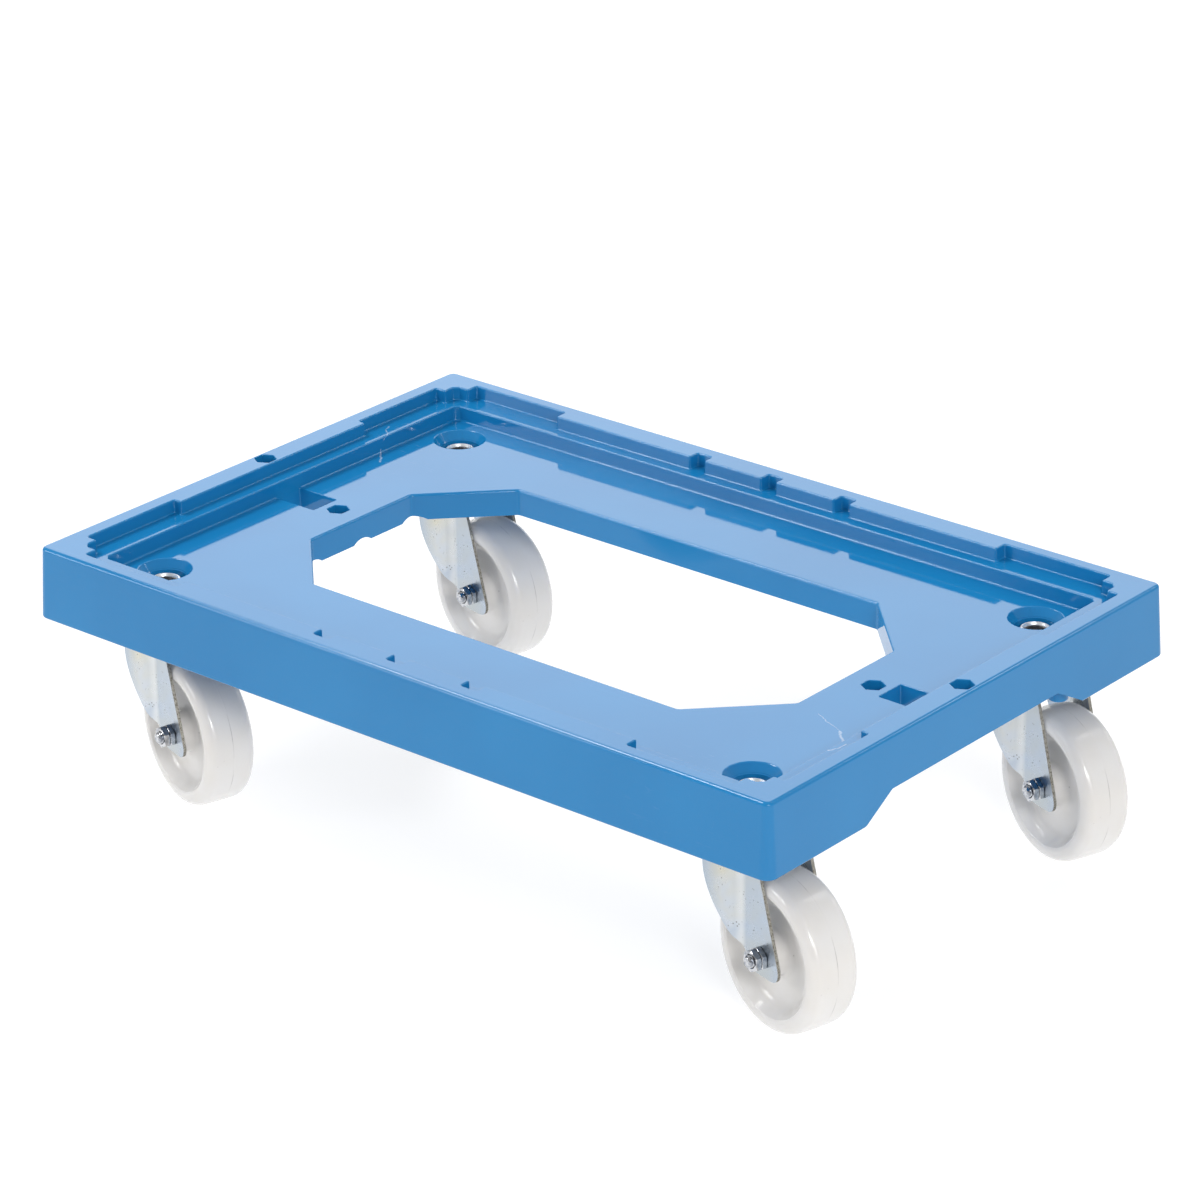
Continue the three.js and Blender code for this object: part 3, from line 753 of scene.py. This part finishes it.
def underside_space():
    """The room inside the skirt and under the rim, before ribs and bosses are put back."""
    corners = rectangle(DECK_LENGTH - 2 * WALL, DECK_WIDTH - 2 * WALL)
    inner = rounded(corners, DECK_CORNER - WALL, 6)
    edge = 0.6

    def inside(name, top):
        layers = [(SKIRT_BOTTOM - 1, edge), (SKIRT_BOTTOM, edge)]
        layers += [(SKIRT_BOTTOM + edge, 0), (top, -lean_at(top))]
        return stack(name, inner, layers)

    rim = [Vector(corner) for corner in rim_corners()]
    rim_walls = stack("rim_walls", grown(rim, WALL), [(0, 0), (RIM_TOP, 0)])
    channels = cut(inside("channels", RIM_TOP - WALL), [rim_walls])
    footprint = rectangle(2 * (DECK_LENGTH / 2 - RIM_HEX_X), RIM_BLOCK_WIDTH)
    for side in (-1, 1):
        block = stack("block", footprint, [(LEDGE - WALL, 0), (RIM_TOP, 0)])
        cut(channels, [moved(block, side * RIM_HEX_X, 0)])
    space = join(inside("space", LEDGE - WALL), [channels])
    tray = stack("tray", grown(floor_outline(), WALL), [(FLOOR - WALL, 0), (RIM_TOP, 0)])
    return cut(space, [tray])


def ribs():
    found = []
    edge = 0.4
    taper = 0.4
    layers = [(RIB_BOTTOM, -edge), (RIB_BOTTOM + edge, 0), (RIM_TOP, taper)]
    for k in range(-5, 6):
        rib = stack("rib", rectangle(RIB_THICKNESS, DECK_WIDTH), layers)
        found.append(moved(rib, k * RIB_PITCH_X, 0))
    for k in range(-3, 4):
        rib = stack("rib", rectangle(DECK_LENGTH, RIB_THICKNESS), layers)
        found.append(moved(rib, 0, k * RIB_PITCH_Y))
    return found


def boss(radius, bottom, segments=48):
    edge = 0.6
    profile = [(0, bottom), (radius - edge, bottom), (radius, bottom + edge)]
    return revolved("boss", profile + [(radius, RIM_TOP), (0, RIM_TOP)], segments)


def at_each_corner(make, x, y):
    return [moved(make(), sx * x, sy * y) for sx in (-1, 1) for sy in (-1, 1)]


def at_both_ends(make, x):
    return [moved(make(), x, 0), turned_round(moved(make(), x, 0))]


def bosses():
    end = (END_BOSS_RADIUS, END_BOSS_BOTTOM, 32)
    pocket = (HEX_ACROSS_FLATS / 2 + WALL, FLOOR - HEX_DEPTH - WALL)
    return (
        at_each_corner(lambda: boss(BOSS_RADIUS, SEAT), CASTOR_X, CASTOR_Y)
        + at_each_corner(lambda: boss(*end), END_BOSS_X, END_BOSS_Y)
        + at_both_ends(lambda: boss(*pocket), FLOOR_HEX_X)
    )


def slot_outline(grow=0.0):
    length = FLOOR_HALF_X - SLOT_INNER_X + 2 * grow
    return rounded(rectangle(length, 2 * (SLOT_HALF_Y + grow)), SLOT_CORNER + grow, 3)


def slot_cutter():
    """The slot's outer wall runs straight up into the ledge's wall, with no rounded mouth."""
    layers = [(SKIRT_BOTTOM - 1, 0)] + mouth(FLOOR, SLOT_EDGE, LEDGE - 2)
    cutter = moved(stack("slot", slot_outline(), layers), SLOT_MIDDLE_X, 0)
    limit = (FLOOR_HALF_X + 0.05) * MM
    for vertex in cutter.data.vertices:
        vertex.co.x = min(vertex.co.x, limit)
    return cutter


def collars():
    """The wall round the opening, with low arches in its ends, and one round each slot."""
    wall = stack(
        "collar",
        grown(opening_outline(), WALL),
        [(COLLAR_BOTTOM, -0.5), (COLLAR_BOTTOM + 0.5, 0), (RIM_TOP, 0)],
    )
    half = COLLAR_NOTCH_WIDTH / 2
    radius = (half**2 + COLLAR_NOTCH_HEIGHT**2) / (2 * COLLAR_NOTCH_HEIGHT)
    middle = COLLAR_BOTTOM + COLLAR_NOTCH_HEIGHT - radius

    def arch(k):
        rod = revolved("arch", cylinder_profile(radius, -DECK_LENGTH / 2, DECK_LENGTH / 2), 96)
        rod.data.transform(Matrix.Rotation(math.pi / 2, 4, "Y"))
        return moved(rod, 0, k * RIB_PITCH_Y, middle)

    duct = [(RIB_BOTTOM, 0), (RIM_TOP, 0)]
    ducts = at_both_ends(lambda: stack("duct", slot_outline(WALL), duct), SLOT_MIDDLE_X)
    return [cut(wall, [arch(k) for k in (-1, 0, 1)])] + ducts


def well():
    """A nut's pocket: bolt hole, flat shelf, straight wall and sloping mouth."""
    shelf_hole = BOLT_RADIUS + 0.5
    mouth_foot = FLOOR - WELL_MOUTH_DEPTH
    slope = math.degrees(math.atan2(WELL_MOUTH_DEPTH, WELL_MOUTH_RADIUS - WELL_RADIUS))
    profile = [
        (0, SEAT - 1),
        (shelf_hole, SEAT - 1),
        (shelf_hole, SHELF),
        (WELL_RADIUS - 1, SHELF),
        (WELL_RADIUS - 0.3, SHELF + 0.3),
        (WELL_RADIUS, SHELF + 1),
        (WELL_RADIUS, mouth_foot - 0.9),
        (WELL_RADIUS + 0.5, mouth_foot - 0.3),
        (WELL_RADIUS + 0.5, mouth_foot),
    ]
    reach = WELL_MOUTH_RADIUS + WELL_LIP * math.tan(math.radians(90 - slope) / 2)
    profile += arc((reach, FLOOR - WELL_LIP), WELL_LIP, 90 + slope, 90)
    profile += [(reach, FLOOR + 1), (0, FLOOR + 1)]
    return revolved("well", profile, 72)


def opening_cutter():
    layers = [(SKIRT_BOTTOM - 1, 0)] + mouth(FLOOR, OPENING_EDGE, RIM_TOP, 7)
    return stack("opening", opening_outline(), layers)


def hex_cutter(top):
    layers = [(top - HEX_DEPTH, 0)] + mouth(top, HEX_EDGE, RIM_TOP + 1, 4)
    return stack("pocket", rounded(hexagon(HEX_ACROSS_FLATS), HEX_CORNER, 3), layers)


def cutout_cutter():
    """The hand cut-out in a short side, its outline in the YZ plane."""
    slope = (CUTOUT_HALF_BOTTOM - CUTOUT_HALF_TOP) / (CUTOUT_TOP - SKIRT_BOTTOM)
    below = 3
    half = CUTOUT_HALF_BOTTOM + below * slope
    corners = [
        (half, SKIRT_BOTTOM - below, 0.1),
        (CUTOUT_HALF_TOP, CUTOUT_TOP),
        (-CUTOUT_HALF_TOP, CUTOUT_TOP),
        (-half, SKIRT_BOTTOM - below, 0.1),
    ]
    inner = END_BOSS_X + END_BOSS_RADIUS + 0.5
    outer = DECK_LENGTH / 2 + 1
    cutter = stack("cutout", rounded(corners, CUTOUT_CORNER, 8), [(inner, 0), (outer, 0)])
    stood_up = Matrix(((0, 0, 1, 0), (1, 0, 0, 0), (0, 1, 0, 0), (0, 0, 0, 1)))
    cutter.data.transform(stood_up)
    return cutter


def deck():
    space = cut(underside_space(), ribs() + bosses() + collars())
    seat = foot(LEDGE, LEDGE_FILLET) + mouth(RIM_TOP, RECESS_EDGE, RIM_TOP + 1)
    tray = foot(FLOOR, FLOOR_FILLET) + mouth(LEDGE, RECESS_EDGE, LEDGE + 0.5)
    cutters = [
        space,
        stack("crate_seat", rounded(rim_corners(), RECESS_CORNER), seat),
        stack("floor_tray", floor_outline(), tray),
        opening_cutter(),
        *at_each_corner(well, CASTOR_X, CASTOR_Y),
        *at_both_ends(slot_cutter, 0),
        *at_both_ends(lambda: hex_cutter(FLOOR), FLOOR_HEX_X),
        *at_both_ends(lambda: hex_cutter(RIM_TOP), RIM_HEX_X),
        *at_both_ends(cutout_cutter, 0),
    ]
    return shade(cut(outer_block(), cutters), 32, weighted=True)


fit(deck(), Matrix.Translation(DECK_MIDDLE), "deck", "deck", "deck_plastic")

# ---- wheel, drawn round the Y axis ----


def wheel_profile():
    """The wheel's section: hub, dished web, rim with a bead, and a crowned tread."""
    bore = BUSH_RADIUS + GAP
    half = [(bore, HUB_HALF_LENGTH - 0.5), (bore + 0.5, HUB_HALF_LENGTH)]
    half += arc((12.1, HUB_HALF_LENGTH - 0.7), 0.7, 90, 5, 4)
    half += [(13.4, 11.5)]
    half += bezier([half[-1], (13.6, 8.0), (15.0, 6.9), (19, 6.8)], 7)
    half += [(23, 6.8), (26.5, 7.0)]
    half += bezier([half[-1], (30.5, 7.2), (33.0, 8.4), (35.2, 10.6)], 7)
    half += [(37.2, 12.9)]
    half += arc((40.3, 15.9), 1.0, 155, 78, 5)
    shoulder = 18
    start = half[-1][0] + 0.6
    for k in range(shoulder + 1):
        angle = math.pi / 2 * k / shoulder
        radius = start + (WHEEL_RADIUS - 0.25 - start) * math.sin(angle) ** 0.8
        along = WHEEL_HALF_WIDTH + 0.3 - 7.5 * (1 - math.cos(angle) ** 0.95)
        half.append((radius, along))
    for along in (8.0, 5.0, 2.5, 1.0):
        half.append((WHEEL_RADIUS - 0.05 - 0.2 * (along / 11.8) ** 2, along))
    half += [(WHEEL_RADIUS - 0.05, 0.3), (WHEEL_RADIUS, 0.0)]
    other = [(r, -a) for r, a in half[-2::-1]]
    return (half + other)[::-1]


def wheel():
    return shade(revolved("wheel", wheel_profile(), 120, "Y"), 40)


# ---- fork, with the swivel axis on Z and trailing along +X ----

BEND = 3 + SHEET / 2  # radius of the sheet's middle where a leg turns into the crown
CROWN_MIDDLE = CROWN_TOP - SHEET / 2
BEND_FOOT = CROWN_MIDDLE - BEND
JOGGLE_START = 18.4
JOGGLE_LENGTH = 8.4
JOGGLE_EASE = 0.3  # the last part of the joggle, where it levels out


def half_gap_at(x):
    """From the wheel's middle to the sheet's: the rear of each leg stands further out."""
    risen = (JOGGLE_START - x) / JOGGLE_LENGTH
    straight = 1 - JOGGLE_EASE
    if risen >= straight:
        risen = 1 - JOGGLE_EASE * math.exp(-(risen - straight) / JOGGLE_EASE)
    return FORK_HALF_GAP + SHEET / 2 + FORK_JOGGLE * max(0.0, min(1.0, risen))


def bent(x, v):
    """A point of the flat blank on the bent sheet. |v| runs from 0 to 1 over the crown, from 1
    to 2 round the bend, and then down the leg in millimetres."""
    side = -1 if v < 0 else 1
    away = abs(v)
    gap = half_gap_at(x)
    if away <= 1:
        return (x, side * away * (gap - BEND), CROWN_MIDDLE)
    if away <= 2:
        angle = (away - 1) * math.pi / 2
        y = gap - BEND + BEND * math.sin(angle)
        return (x, side * y, BEND_FOOT + BEND * math.cos(angle))
    return (x, side * gap, BEND_FOOT - (away - 2))


def blank_outline():
    """The flat blank: one leg's edge, the crown's round back, the other leg."""
    side = [(31, BEND_FOOT), (33, 107), (52.3, 49)]
    side += bezier([side[-1], (54.2, 42.5), (51.5, 38), (45, 38)], 10)
    side += [(31.5, 38)]
    side += bezier([side[-1], (28, 38), (27, 40), (25, 42.6)], 5)
    side += bezier([side[-1], (22.5, 47), (16.4, 52)], 6)
    side += bezier([side[-1], (-4, 64), (-18, 78), (-18, 94)], 14)
    side += [(-18, BEND_FOOT)]
    leg = [(x, 2 + BEND_FOOT - z) for x, z in side]
    back = []
    for k in range(9):
        fraction = 1 - k / 8
        y = fraction * (FORK_HALF_GAP + FORK_JOGGLE + SHEET / 2 - BEND)
        back.append((-math.sqrt(CROWN_RADIUS**2 - y**2), fraction))
    right = [(31, 1.0)] + leg + back
    left = [(x, -v) for x, v in reversed(right[:-1])]
    return right + left


def fork():
    """The blank is cut across where it will bend, folded to its shape, and made thick."""
    mesh = bmesh.new()
    corners = [mesh.verts.new((x, v, 0)) for x, v in blank_outline()]
    mesh.faces.new(corners)
    joggle_x = [8.4, 9.2, 10, 11, 12, 13, 14, 15.5, 17, 17.8, 18.2, 18.4, 18.6, 19.4]
    flat_x = [-12, -6, 0, 4, 24, 29, 36, 42, 47]
    folds_v = [0, 1, 1.17, 1.33, 1.5, 1.67, 1.83, 2]
    cuts = [((x, 0, 0), (1, 0, 0)) for x in joggle_x]
    cuts += [((0, side * v, 0), (0, 1, 0)) for v in folds_v for side in (-1, 1)]
    cuts += [((x, 0, 0), (1, 0, 0)) for x in flat_x]
    for place, normal in cuts:
        everything = mesh.verts[:] + mesh.edges[:] + mesh.faces[:]
        bmesh.ops.bisect_plane(mesh, geom=everything, plane_co=place, plane_no=normal)
    for vertex in mesh.verts:
        vertex.co = Vector(bent(vertex.co.x, vertex.co.y)) * MM
    bmesh.ops.remove_doubles(mesh, verts=mesh.verts, dist=1e-6)
    bmesh.ops.recalc_face_normals(mesh, faces=mesh.faces)
    piece = mesh_object("fork", [], [])
    mesh.to_mesh(piece.data)
    mesh.free()
    thick = piece.modifiers.new("sheet", "SOLIDIFY")
    thick.thickness = SHEET * MM
    thick.offset = 0
    thick.use_even_offset = True
    apply_modifiers(piece)
    hole = cylinder_profile(KING_PIN_RADIUS + GAP, CROWN_TOP - 10, CROWN_TOP + 1)
    bore = revolved("bore", hole)
    reach = 40
    axle = revolved("axle", cylinder_profile(AXLE_RADIUS + GAP, -reach, reach), 40, "Y")
    moved(axle, TRAIL, 0, WHEEL_RADIUS)
    cut(piece, [bore, axle])
    edges = piece.modifiers.new("edges", "BEVEL")
    edges.width = 0.28 * MM
    edges.segments = 2
    edges.limit_method = "ANGLE"
    edges.angle_limit = math.radians(50)
    apply_modifiers(piece)
    shade(piece, 35, weighted=True)
    return paint_cut_edges(piece)


def paint_cut_edges(piece):
    """The sheet's cut edges get the torn finish: faces that look along the sheet."""
    piece.data.materials.append(SLOTS["zinc_steel"])
    piece.data.materials.append(SHEARED_EDGE)
    for face in piece.data.polygons:
        middle = face.center / MM
        on_crown = middle.z > BEND_FOOT
        along_sheet = abs(face.normal.z) if on_crown else abs(face.normal.y)
        if along_sheet < 0.35 and not (on_crown and abs(face.normal.y) > 0.3):
            face.material_index = 1
    return piece


# ---- small turned pieces ----

CROWN_UNDER = CROWN_TOP - SHEET
FLANGE_TOP = CROWN_UNDER - GAP
FLANGE_BOTTOM = FLANGE_TOP - FLANGE_THICKNESS
NUT_BOTTOM = SHELF + WASHER_THICKNESS + 2 * GAP
LEG_FACE = FORK_HALF_GAP + SHEET + GAP


def hex_body(name, flats, low, high, hole=0.0, chamfer_high=True):
    """A hexagon with its corners turned back to a cone, as on a real nut or bolt head.
    It stands on Z from low to high, with a plain hole if one is given."""
    segments = 72
    face_radius = flats / 2 * 0.985
    slope = math.tan(math.radians(30))
    rim = 0.02
    edge = 0.5
    columns = []
    for k in range(segments):
        angle = 2 * math.pi * k / segments
        off_flat = (angle + math.pi / 6) % (math.pi / 3) - math.pi / 6
        side = flats / 2 / math.cos(off_flat)
        face = min(face_radius, side)
        drop = max(0.0, side - face_radius) * slope + rim
        profile = [(face, low), (side, low + drop)]
        if chamfer_high:
            profile += [(side, high - drop), (face, high)]
        else:
            profile += [(side, high - rim), (side, high)]
        if hole:
            profile = [(hole + edge, low)] + profile
            profile += [(hole + edge, high), (hole, high - edge), (hole, low + edge)]
        columns.append([(r * math.cos(angle), r * math.sin(angle), z) for r, z in profile])
    rings = len(columns[0])
    points = [column[i] for i in range(rings) for column in columns]
    faces = []
    for i in range(rings if hole else rings - 1):
        a = i * segments
        b = (i + 1) % rings * segments
        for k in range(segments):
            n = (k + 1) % segments
            faces.append((a + k, a + n, b + n, b + k))
    if not hole:
        faces.append(tuple(reversed(range(segments))))
        faces.append(tuple(range(len(points) - segments, len(points))))
    return mesh_object(name, points, faces)


def laid_forward(piece):
    """Turns a piece that stands on Z so that it points to the front, along -Y."""
    piece.data.transform(Matrix.Rotation(math.pi / 2, 4, "X"))
    return piece


def thread(radius, low, high, pitch):
    """Ridges of a screw thread up to a chamfered tip, as profile points."""
    root = radius - 0.55 * pitch
    found = []
    z = low
    while z + pitch < high - 0.6:
        found += [(root, z), (radius, z + 0.44 * pitch), (radius, z + 0.56 * pitch)]
        z += pitch
    return found + [(root, z), (radius - 0.1, high - 1.0), (root - 0.2, high - 0.1)]


def fixing_bolt():
    top = FLANGE_BOTTOM - GAP
    profile = [(0, top - 1), (BOLT_RADIUS, top - 1), (BOLT_RADIUS, NUT_BOTTOM + 4)]
    profile += thread(BOLT_RADIUS, NUT_BOTTOM + 4.2, BOLT_TIP, BOLT_PITCH)
    profile += [(BOLT_RADIUS - 1.5, BOLT_TIP), (2, BOLT_TIP - 0.15), (0, BOLT_TIP - 0.2)]
    shank = revolved("fixing_bolt", profile, 48)
    head = hex_body("head", BOLT_FLATS, top - BOLT_HEAD_HEIGHT, top, chamfer_high=False)
    return shade(join(head, [shank]), 25)


def fixing_washer():
    low = SHELF + GAP
    high = low + WASHER_THICKNESS
    inner = BOLT_RADIUS + GAP
    outer = WASHER_RADIUS
    profile = [(inner, low), (outer - 0.2, low), (outer, low + 0.2), (outer, high - 0.3)]
    profile += [(outer - 0.3, high), (inner + 0.2, high), (inner, high - 0.2)]
    return shade(revolved("fixing_washer", profile, 56), 30)


def fixing_nut():
    """A lock nut: a hexagon under a round collar that holds a dark ring; the ring's near-black
    is partly the insert's own colour and partly painted shade inside the collar.
    """
    neck = NUT_TOP - COLLAR_HEIGHT
    radius = NUT_COLLAR_RADIUS
    cup = INSERT_RADIUS + GAP
    curl = 1.6
    lip = radius - curl
    profile = [(cup - 0.8, neck - 0.6), (radius, neck - 0.6), (radius, NUT_TOP - curl)]
    profile += arc((lip, NUT_TOP - curl), curl, 0, 75, 6)
    profile += [(lip - 0.2, NUT_TOP - 0.1), (cup + 0.2, INSERT_TOP + 0.5)]
    profile += [(cup, INSERT_TOP + 0.1), (cup, neck + 0.2)]
    collar = revolved("collar", profile, 72)
    body = hex_body("fixing_nut", NUT_FLATS, NUT_BOTTOM, neck, BOLT_RADIUS + GAP)
    join(body, [collar])
    body.data.materials.append(SATIN_ZINC)
    return shade(body, 30)


def fixing_nut_insert():
    low = NUT_TOP - COLLAR_HEIGHT + GAP
    inner = BOLT_RADIUS + GAP
    edge = 0.2
    outer, high = INSERT_RADIUS, INSERT_TOP
    profile = [(inner, low), (outer, low), (outer, high - edge), (outer - edge, high)]
    profile += [(inner + edge, high), (inner, high - edge)]
    return shade(revolved("fixing_nut_insert", profile, 56), 30)


def top_race():
    low = CROWN_TOP + 2 * (BALL_RADIUS + GAP)
    bore = KING_PIN_RADIUS + GAP
    high = SEAT - GAP
    profile = [(bore, low), (14, low)]
    profile += [(BALL_CIRCLE + r, low + z) for r, z in [(-2, 0), (-1, 0.5), (0, 0.7), (1, 0.5)]]
    foot_z = CROWN_TOP + 1.2
    profile += [(22, low), (23.2, low - 0.8), (23.5, foot_z), (RACE_RADIUS - 0.4, foot_z)]
    profile += [(RACE_RADIUS, foot_z + 0.4)]
    profile += arc((RACE_RADIUS - 3, high - 3), 3, 0, 90, 8)
    profile += [(bore + 0.3, high), (bore, high - 0.3)]
    return shade(revolved("top_race", profile, 72), 35)


def king_pin():
    bore = BOLT_RADIUS + GAP
    high = SEAT - 2 * GAP
    pin, flange = KING_PIN_RADIUS, FLANGE_RADIUS
    profile = [(bore, FLANGE_BOTTOM + 0.4), (bore + 0.4, FLANGE_BOTTOM)]
    profile += arc((flange - 1, FLANGE_BOTTOM + 1), 1, 270, 360, 4)
    profile += [(flange, FLANGE_TOP - 0.3), (flange - 0.3, FLANGE_TOP)]
    profile += [(pin + 0.1, FLANGE_TOP), (pin, FLANGE_TOP + 0.2), (pin, high - 0.4)]
    profile += [(pin - 0.4, high), (bore + 0.3, high), (bore, high - 0.3)]
    return shade(revolved("king_pin", profile, 56), 30)


def ball_ring():
    """Nine balls in a pressed cage."""
    middle = CROWN_TOP + BALL_RADIUS + GAP
    low, high = middle - 0.6, middle + 0.6
    inner, outer = BALL_CIRCLE - 1.2, BALL_CIRCLE + 1.2
    cage = revolved("ball_ring", [(inner, low), (outer, low), (outer, high), (inner, high)], 72)
    side = arc((0, 0), BALL_RADIUS, -90, 90, 14)[1:-1]
    for k in range(BALL_COUNT):
        angle = 2 * math.pi * k / BALL_COUNT
        ball = revolved("ball", [(0, -BALL_RADIUS)] + side + [(0, BALL_RADIUS)], 28)
        moved(ball, BALL_CIRCLE * math.cos(angle), BALL_CIRCLE * math.sin(angle), middle)
        join(cage, [ball])
    return shade(cage, 30)


def axle_bush():
    inner, outer = AXLE_RADIUS + GAP, BUSH_RADIUS
    reach = HUB_HALF_LENGTH
    edge = 0.3
    profile = [(inner, -reach + edge), (inner + edge, -reach), (outer - edge, -reach)]
    profile += [(outer, -reach + edge), (outer, reach - edge), (outer - edge, reach)]
    profile += [(inner + edge, reach), (inner, reach - edge)]
    return shade(revolved("axle_bush", profile, 40, "Y"), 30)


def axle_bolt():
    """Its head is on the far side of the wheel, and its threaded tip points to the front."""
    start = LEG_FACE + 3
    profile = [(0, -LEG_FACE - 1), (AXLE_RADIUS, -LEG_FACE - 1), (AXLE_RADIUS, start)]
    profile += thread(AXLE_RADIUS, start + 0.1, AXLE_TIP, AXLE_PITCH)
    profile += [(AXLE_RADIUS - 1.1, AXLE_TIP), (0, AXLE_TIP)]
    shank = revolved("shank", profile, 48)
    far = -LEG_FACE - AXLE_HEAD_HEIGHT
    head = hex_body("axle_bolt", AXLE_NUT_FLATS, far, -LEG_FACE, chamfer_high=False)
    return shade(laid_forward(join(head, [shank])), 25)


def nut_on_axle(name, flats, near, height):
    """A nut on the tip's side, so many millimetres out from the wheel's middle."""
    nut = hex_body(name, flats, near, near + height, AXLE_RADIUS + GAP)
    return shade(laid_forward(nut), 25)


def axle_jam_nut():
    return nut_on_axle("axle_jam_nut", JAM_NUT_FLATS, LEG_FACE, JAM_NUT_HEIGHT)


def axle_nut():
    near = LEG_FACE + JAM_NUT_HEIGHT + GAP
    return nut_on_axle("axle_nut", AXLE_NUT_FLATS, near, AXLE_NUT_HEIGHT)


# ---- castors ----

# Each castor's pieces by the body they ride on: name, function and slot
ON_DECK = [
    ("fixing_bolt", fixing_bolt, "bright_steel"),
    ("fixing_washer", fixing_washer, "bright_steel"),
    ("fixing_nut", fixing_nut, "bright_steel"),
    # The insert's near-black is partly its own colour and partly painted shade inside the nut's
    # collar.
    ("fixing_nut_insert", fixing_nut_insert, "dark_plastic"),
    ("top_race", top_race, "zinc_steel"),
    ("king_pin", king_pin, "zinc_steel"),
]
ON_CASTOR = [("ball_ring", ball_ring, "bright_steel"), ("fork", fork, "zinc_steel")]
ON_AXLE = [
    ("axle_bush", axle_bush, "dark_plastic"),
    ("axle_bolt", axle_bolt, "bright_steel"),
    ("axle_jam_nut", axle_jam_nut, "bright_steel"),
    ("axle_nut", axle_nut, "bright_steel"),
]


def build_castors():
    """Each piece is made once, and its mesh is used by all four castors."""
    groups = [
        (ON_DECK, castor_place, lambda place: "deck"),
        (ON_CASTOR, castor_place, lambda place: f"{place}_castor"),
        (ON_AXLE, axle_place, lambda place: f"{place}_castor"),
        ([("wheel", wheel, "wheel_plastic")], axle_place, lambda place: f"{place}_wheel"),
    ]
    for pieces, where, body_of in groups:
        for part, make, slot in pieces:
            pattern = make()
            for place in PLACES:
                copy = new_object(f"{part}_of_{place}", pattern.data)
                fit(copy, where(place), body_of(place), f"{place}_{part}", slot)
            bpy.data.objects.remove(pattern)


build_castors()

# ---- stage, in metres ----

GROUND_REACH = 6.0
GROUND_GLOW = 0.74

ROOM_LIGHTER_SIDE = (-0.52, 0.62, 0.59)
ROOM_FRONT = 0.40
ROOM_BACK = 0.55

LIGHT_TARGET = Vector((0, 0, 0.12))

# Soft boxes: name, place, size and watts
SOFTBOXES = [
    ("back_wall", (-2.5, 3.1, 2.05), (4.4, 2.2), 51),  # mirrored in the flat tops
    ("low_back", (-2.3, 2.75, 0.42), (3.6, 0.55), 10),  # mirrored in the far edges
    ("high_box", (0.45, 1.5, 2.6), (1.0, 0.5), 4),
    ("near_box", (2.1, -1.45, 1.55), (0.7, 0.8), 28),  # mirrored in the wheels' shoulders
    ("left_high", (-1.4, -0.55, 2.4), (1.5, 0.4), 26),  # the line along the front top edge
    ("edge_high", (-1.9, -0.45, 2.4), (1.2, 0.35), 11),
    ("right_high", (1.2, 2.1, 1.8), (0.45, 0.5), 4),
    ("left_box", (-2.0, -2.3, 1.1), (0.9, 0.8), 17),
    ("right_box", (3.0, -1.2, 1.3), (0.8, 1.2), 15),
]


def floor():
    corners = [(-1, -1, 0), (1, -1, 0), (1, 1, 0), (-1, 1, 0)]
    piece = mesh_object("floor", corners, [(0, 1, 2, 3)], GROUND_REACH)
    f = Finish("floor", (0.35, 0.35, 0.35), 0.6)
    f.set("Specular IOR Level", 0.1)
    f.set("Emission Color", (1.0, 1.0, 1.0, 1))
    f.set("Emission Strength", GROUND_GLOW)
    piece.data.materials.append(f.material)


def softbox(name, place, size, watts):
    light = bpy.data.lights.new(name, "AREA")
    light.shape = "RECTANGLE"
    light.size, light.size_y = size
    light.energy = watts
    box = new_object(name, light)
    box.location = place
    box.rotation_euler = (Vector(place) - LIGHT_TARGET).to_track_quat("Z", "Y").to_euler()


def room():
    """A pale room, dimmer towards the front than behind and above."""
    world = bpy.data.worlds.new("studio")
    world.use_nodes = True
    tree = world.node_tree
    direction = tree.nodes.new("ShaderNodeTexCoord").outputs["Generated"]
    towards = tree.nodes.new("ShaderNodeVectorMath")
    towards.operation = "DOT_PRODUCT"
    towards.inputs[1].default_value = ROOM_LIGHTER_SIDE
    tree.links.new(direction, towards.inputs[0])
    level = tree.nodes.new("ShaderNodeMapRange")
    levels = {"From Min": -0.35, "From Max": 0.75, "To Min": ROOM_FRONT, "To Max": ROOM_BACK}
    for key, value in levels.items():
        level.inputs[key].default_value = value
    tree.links.new(towards.outputs["Value"], level.inputs["Value"])
    tree.links.new(level.outputs["Result"], tree.nodes["Background"].inputs["Strength"])
    tree.nodes["Background"].inputs["Color"].default_value = (1.0, 1.0, 1.0, 1)
    bpy.context.scene.world = world


def studio():
    for box in SOFTBOXES:
        softbox(*box)
    room()
    bpy.context.scene.view_settings.view_transform = "Standard"


def camera():
    """A long lens, looking from well back over the front right corner."""
    azimuth = math.radians(40.42)
    elevation = math.radians(23.884)
    roll = math.radians(-0.798)
    aside, above, away = 0.004251, -0.022714, 2.9461
    lens = bpy.data.cameras.new("camera")
    lens.sensor_width = 36
    lens.lens = 137.357
    lens.clip_end = 50
    right = Vector((math.cos(azimuth), math.sin(azimuth), 0))
    level = math.cos(elevation)
    back = Vector((right.y * level, -right.x * level, math.sin(elevation)))
    up = back.cross(right)
    tilted_right = math.cos(roll) * right + math.sin(roll) * up
    tilted_up = math.cos(roll) * up - math.sin(roll) * right
    middle = DECK_MIDDLE + Vector((0, 0, deck_high.z))
    place = middle + aside * tilted_right + above * tilted_up + away * back
    axes = Matrix((tilted_right, tilted_up, back)).transposed().to_4x4()
    thing = new_object("camera", lens)
    thing.matrix_world = Matrix.Translation(place) @ axes
    bpy.context.scene.camera = thing


floor()
studio()
camera()
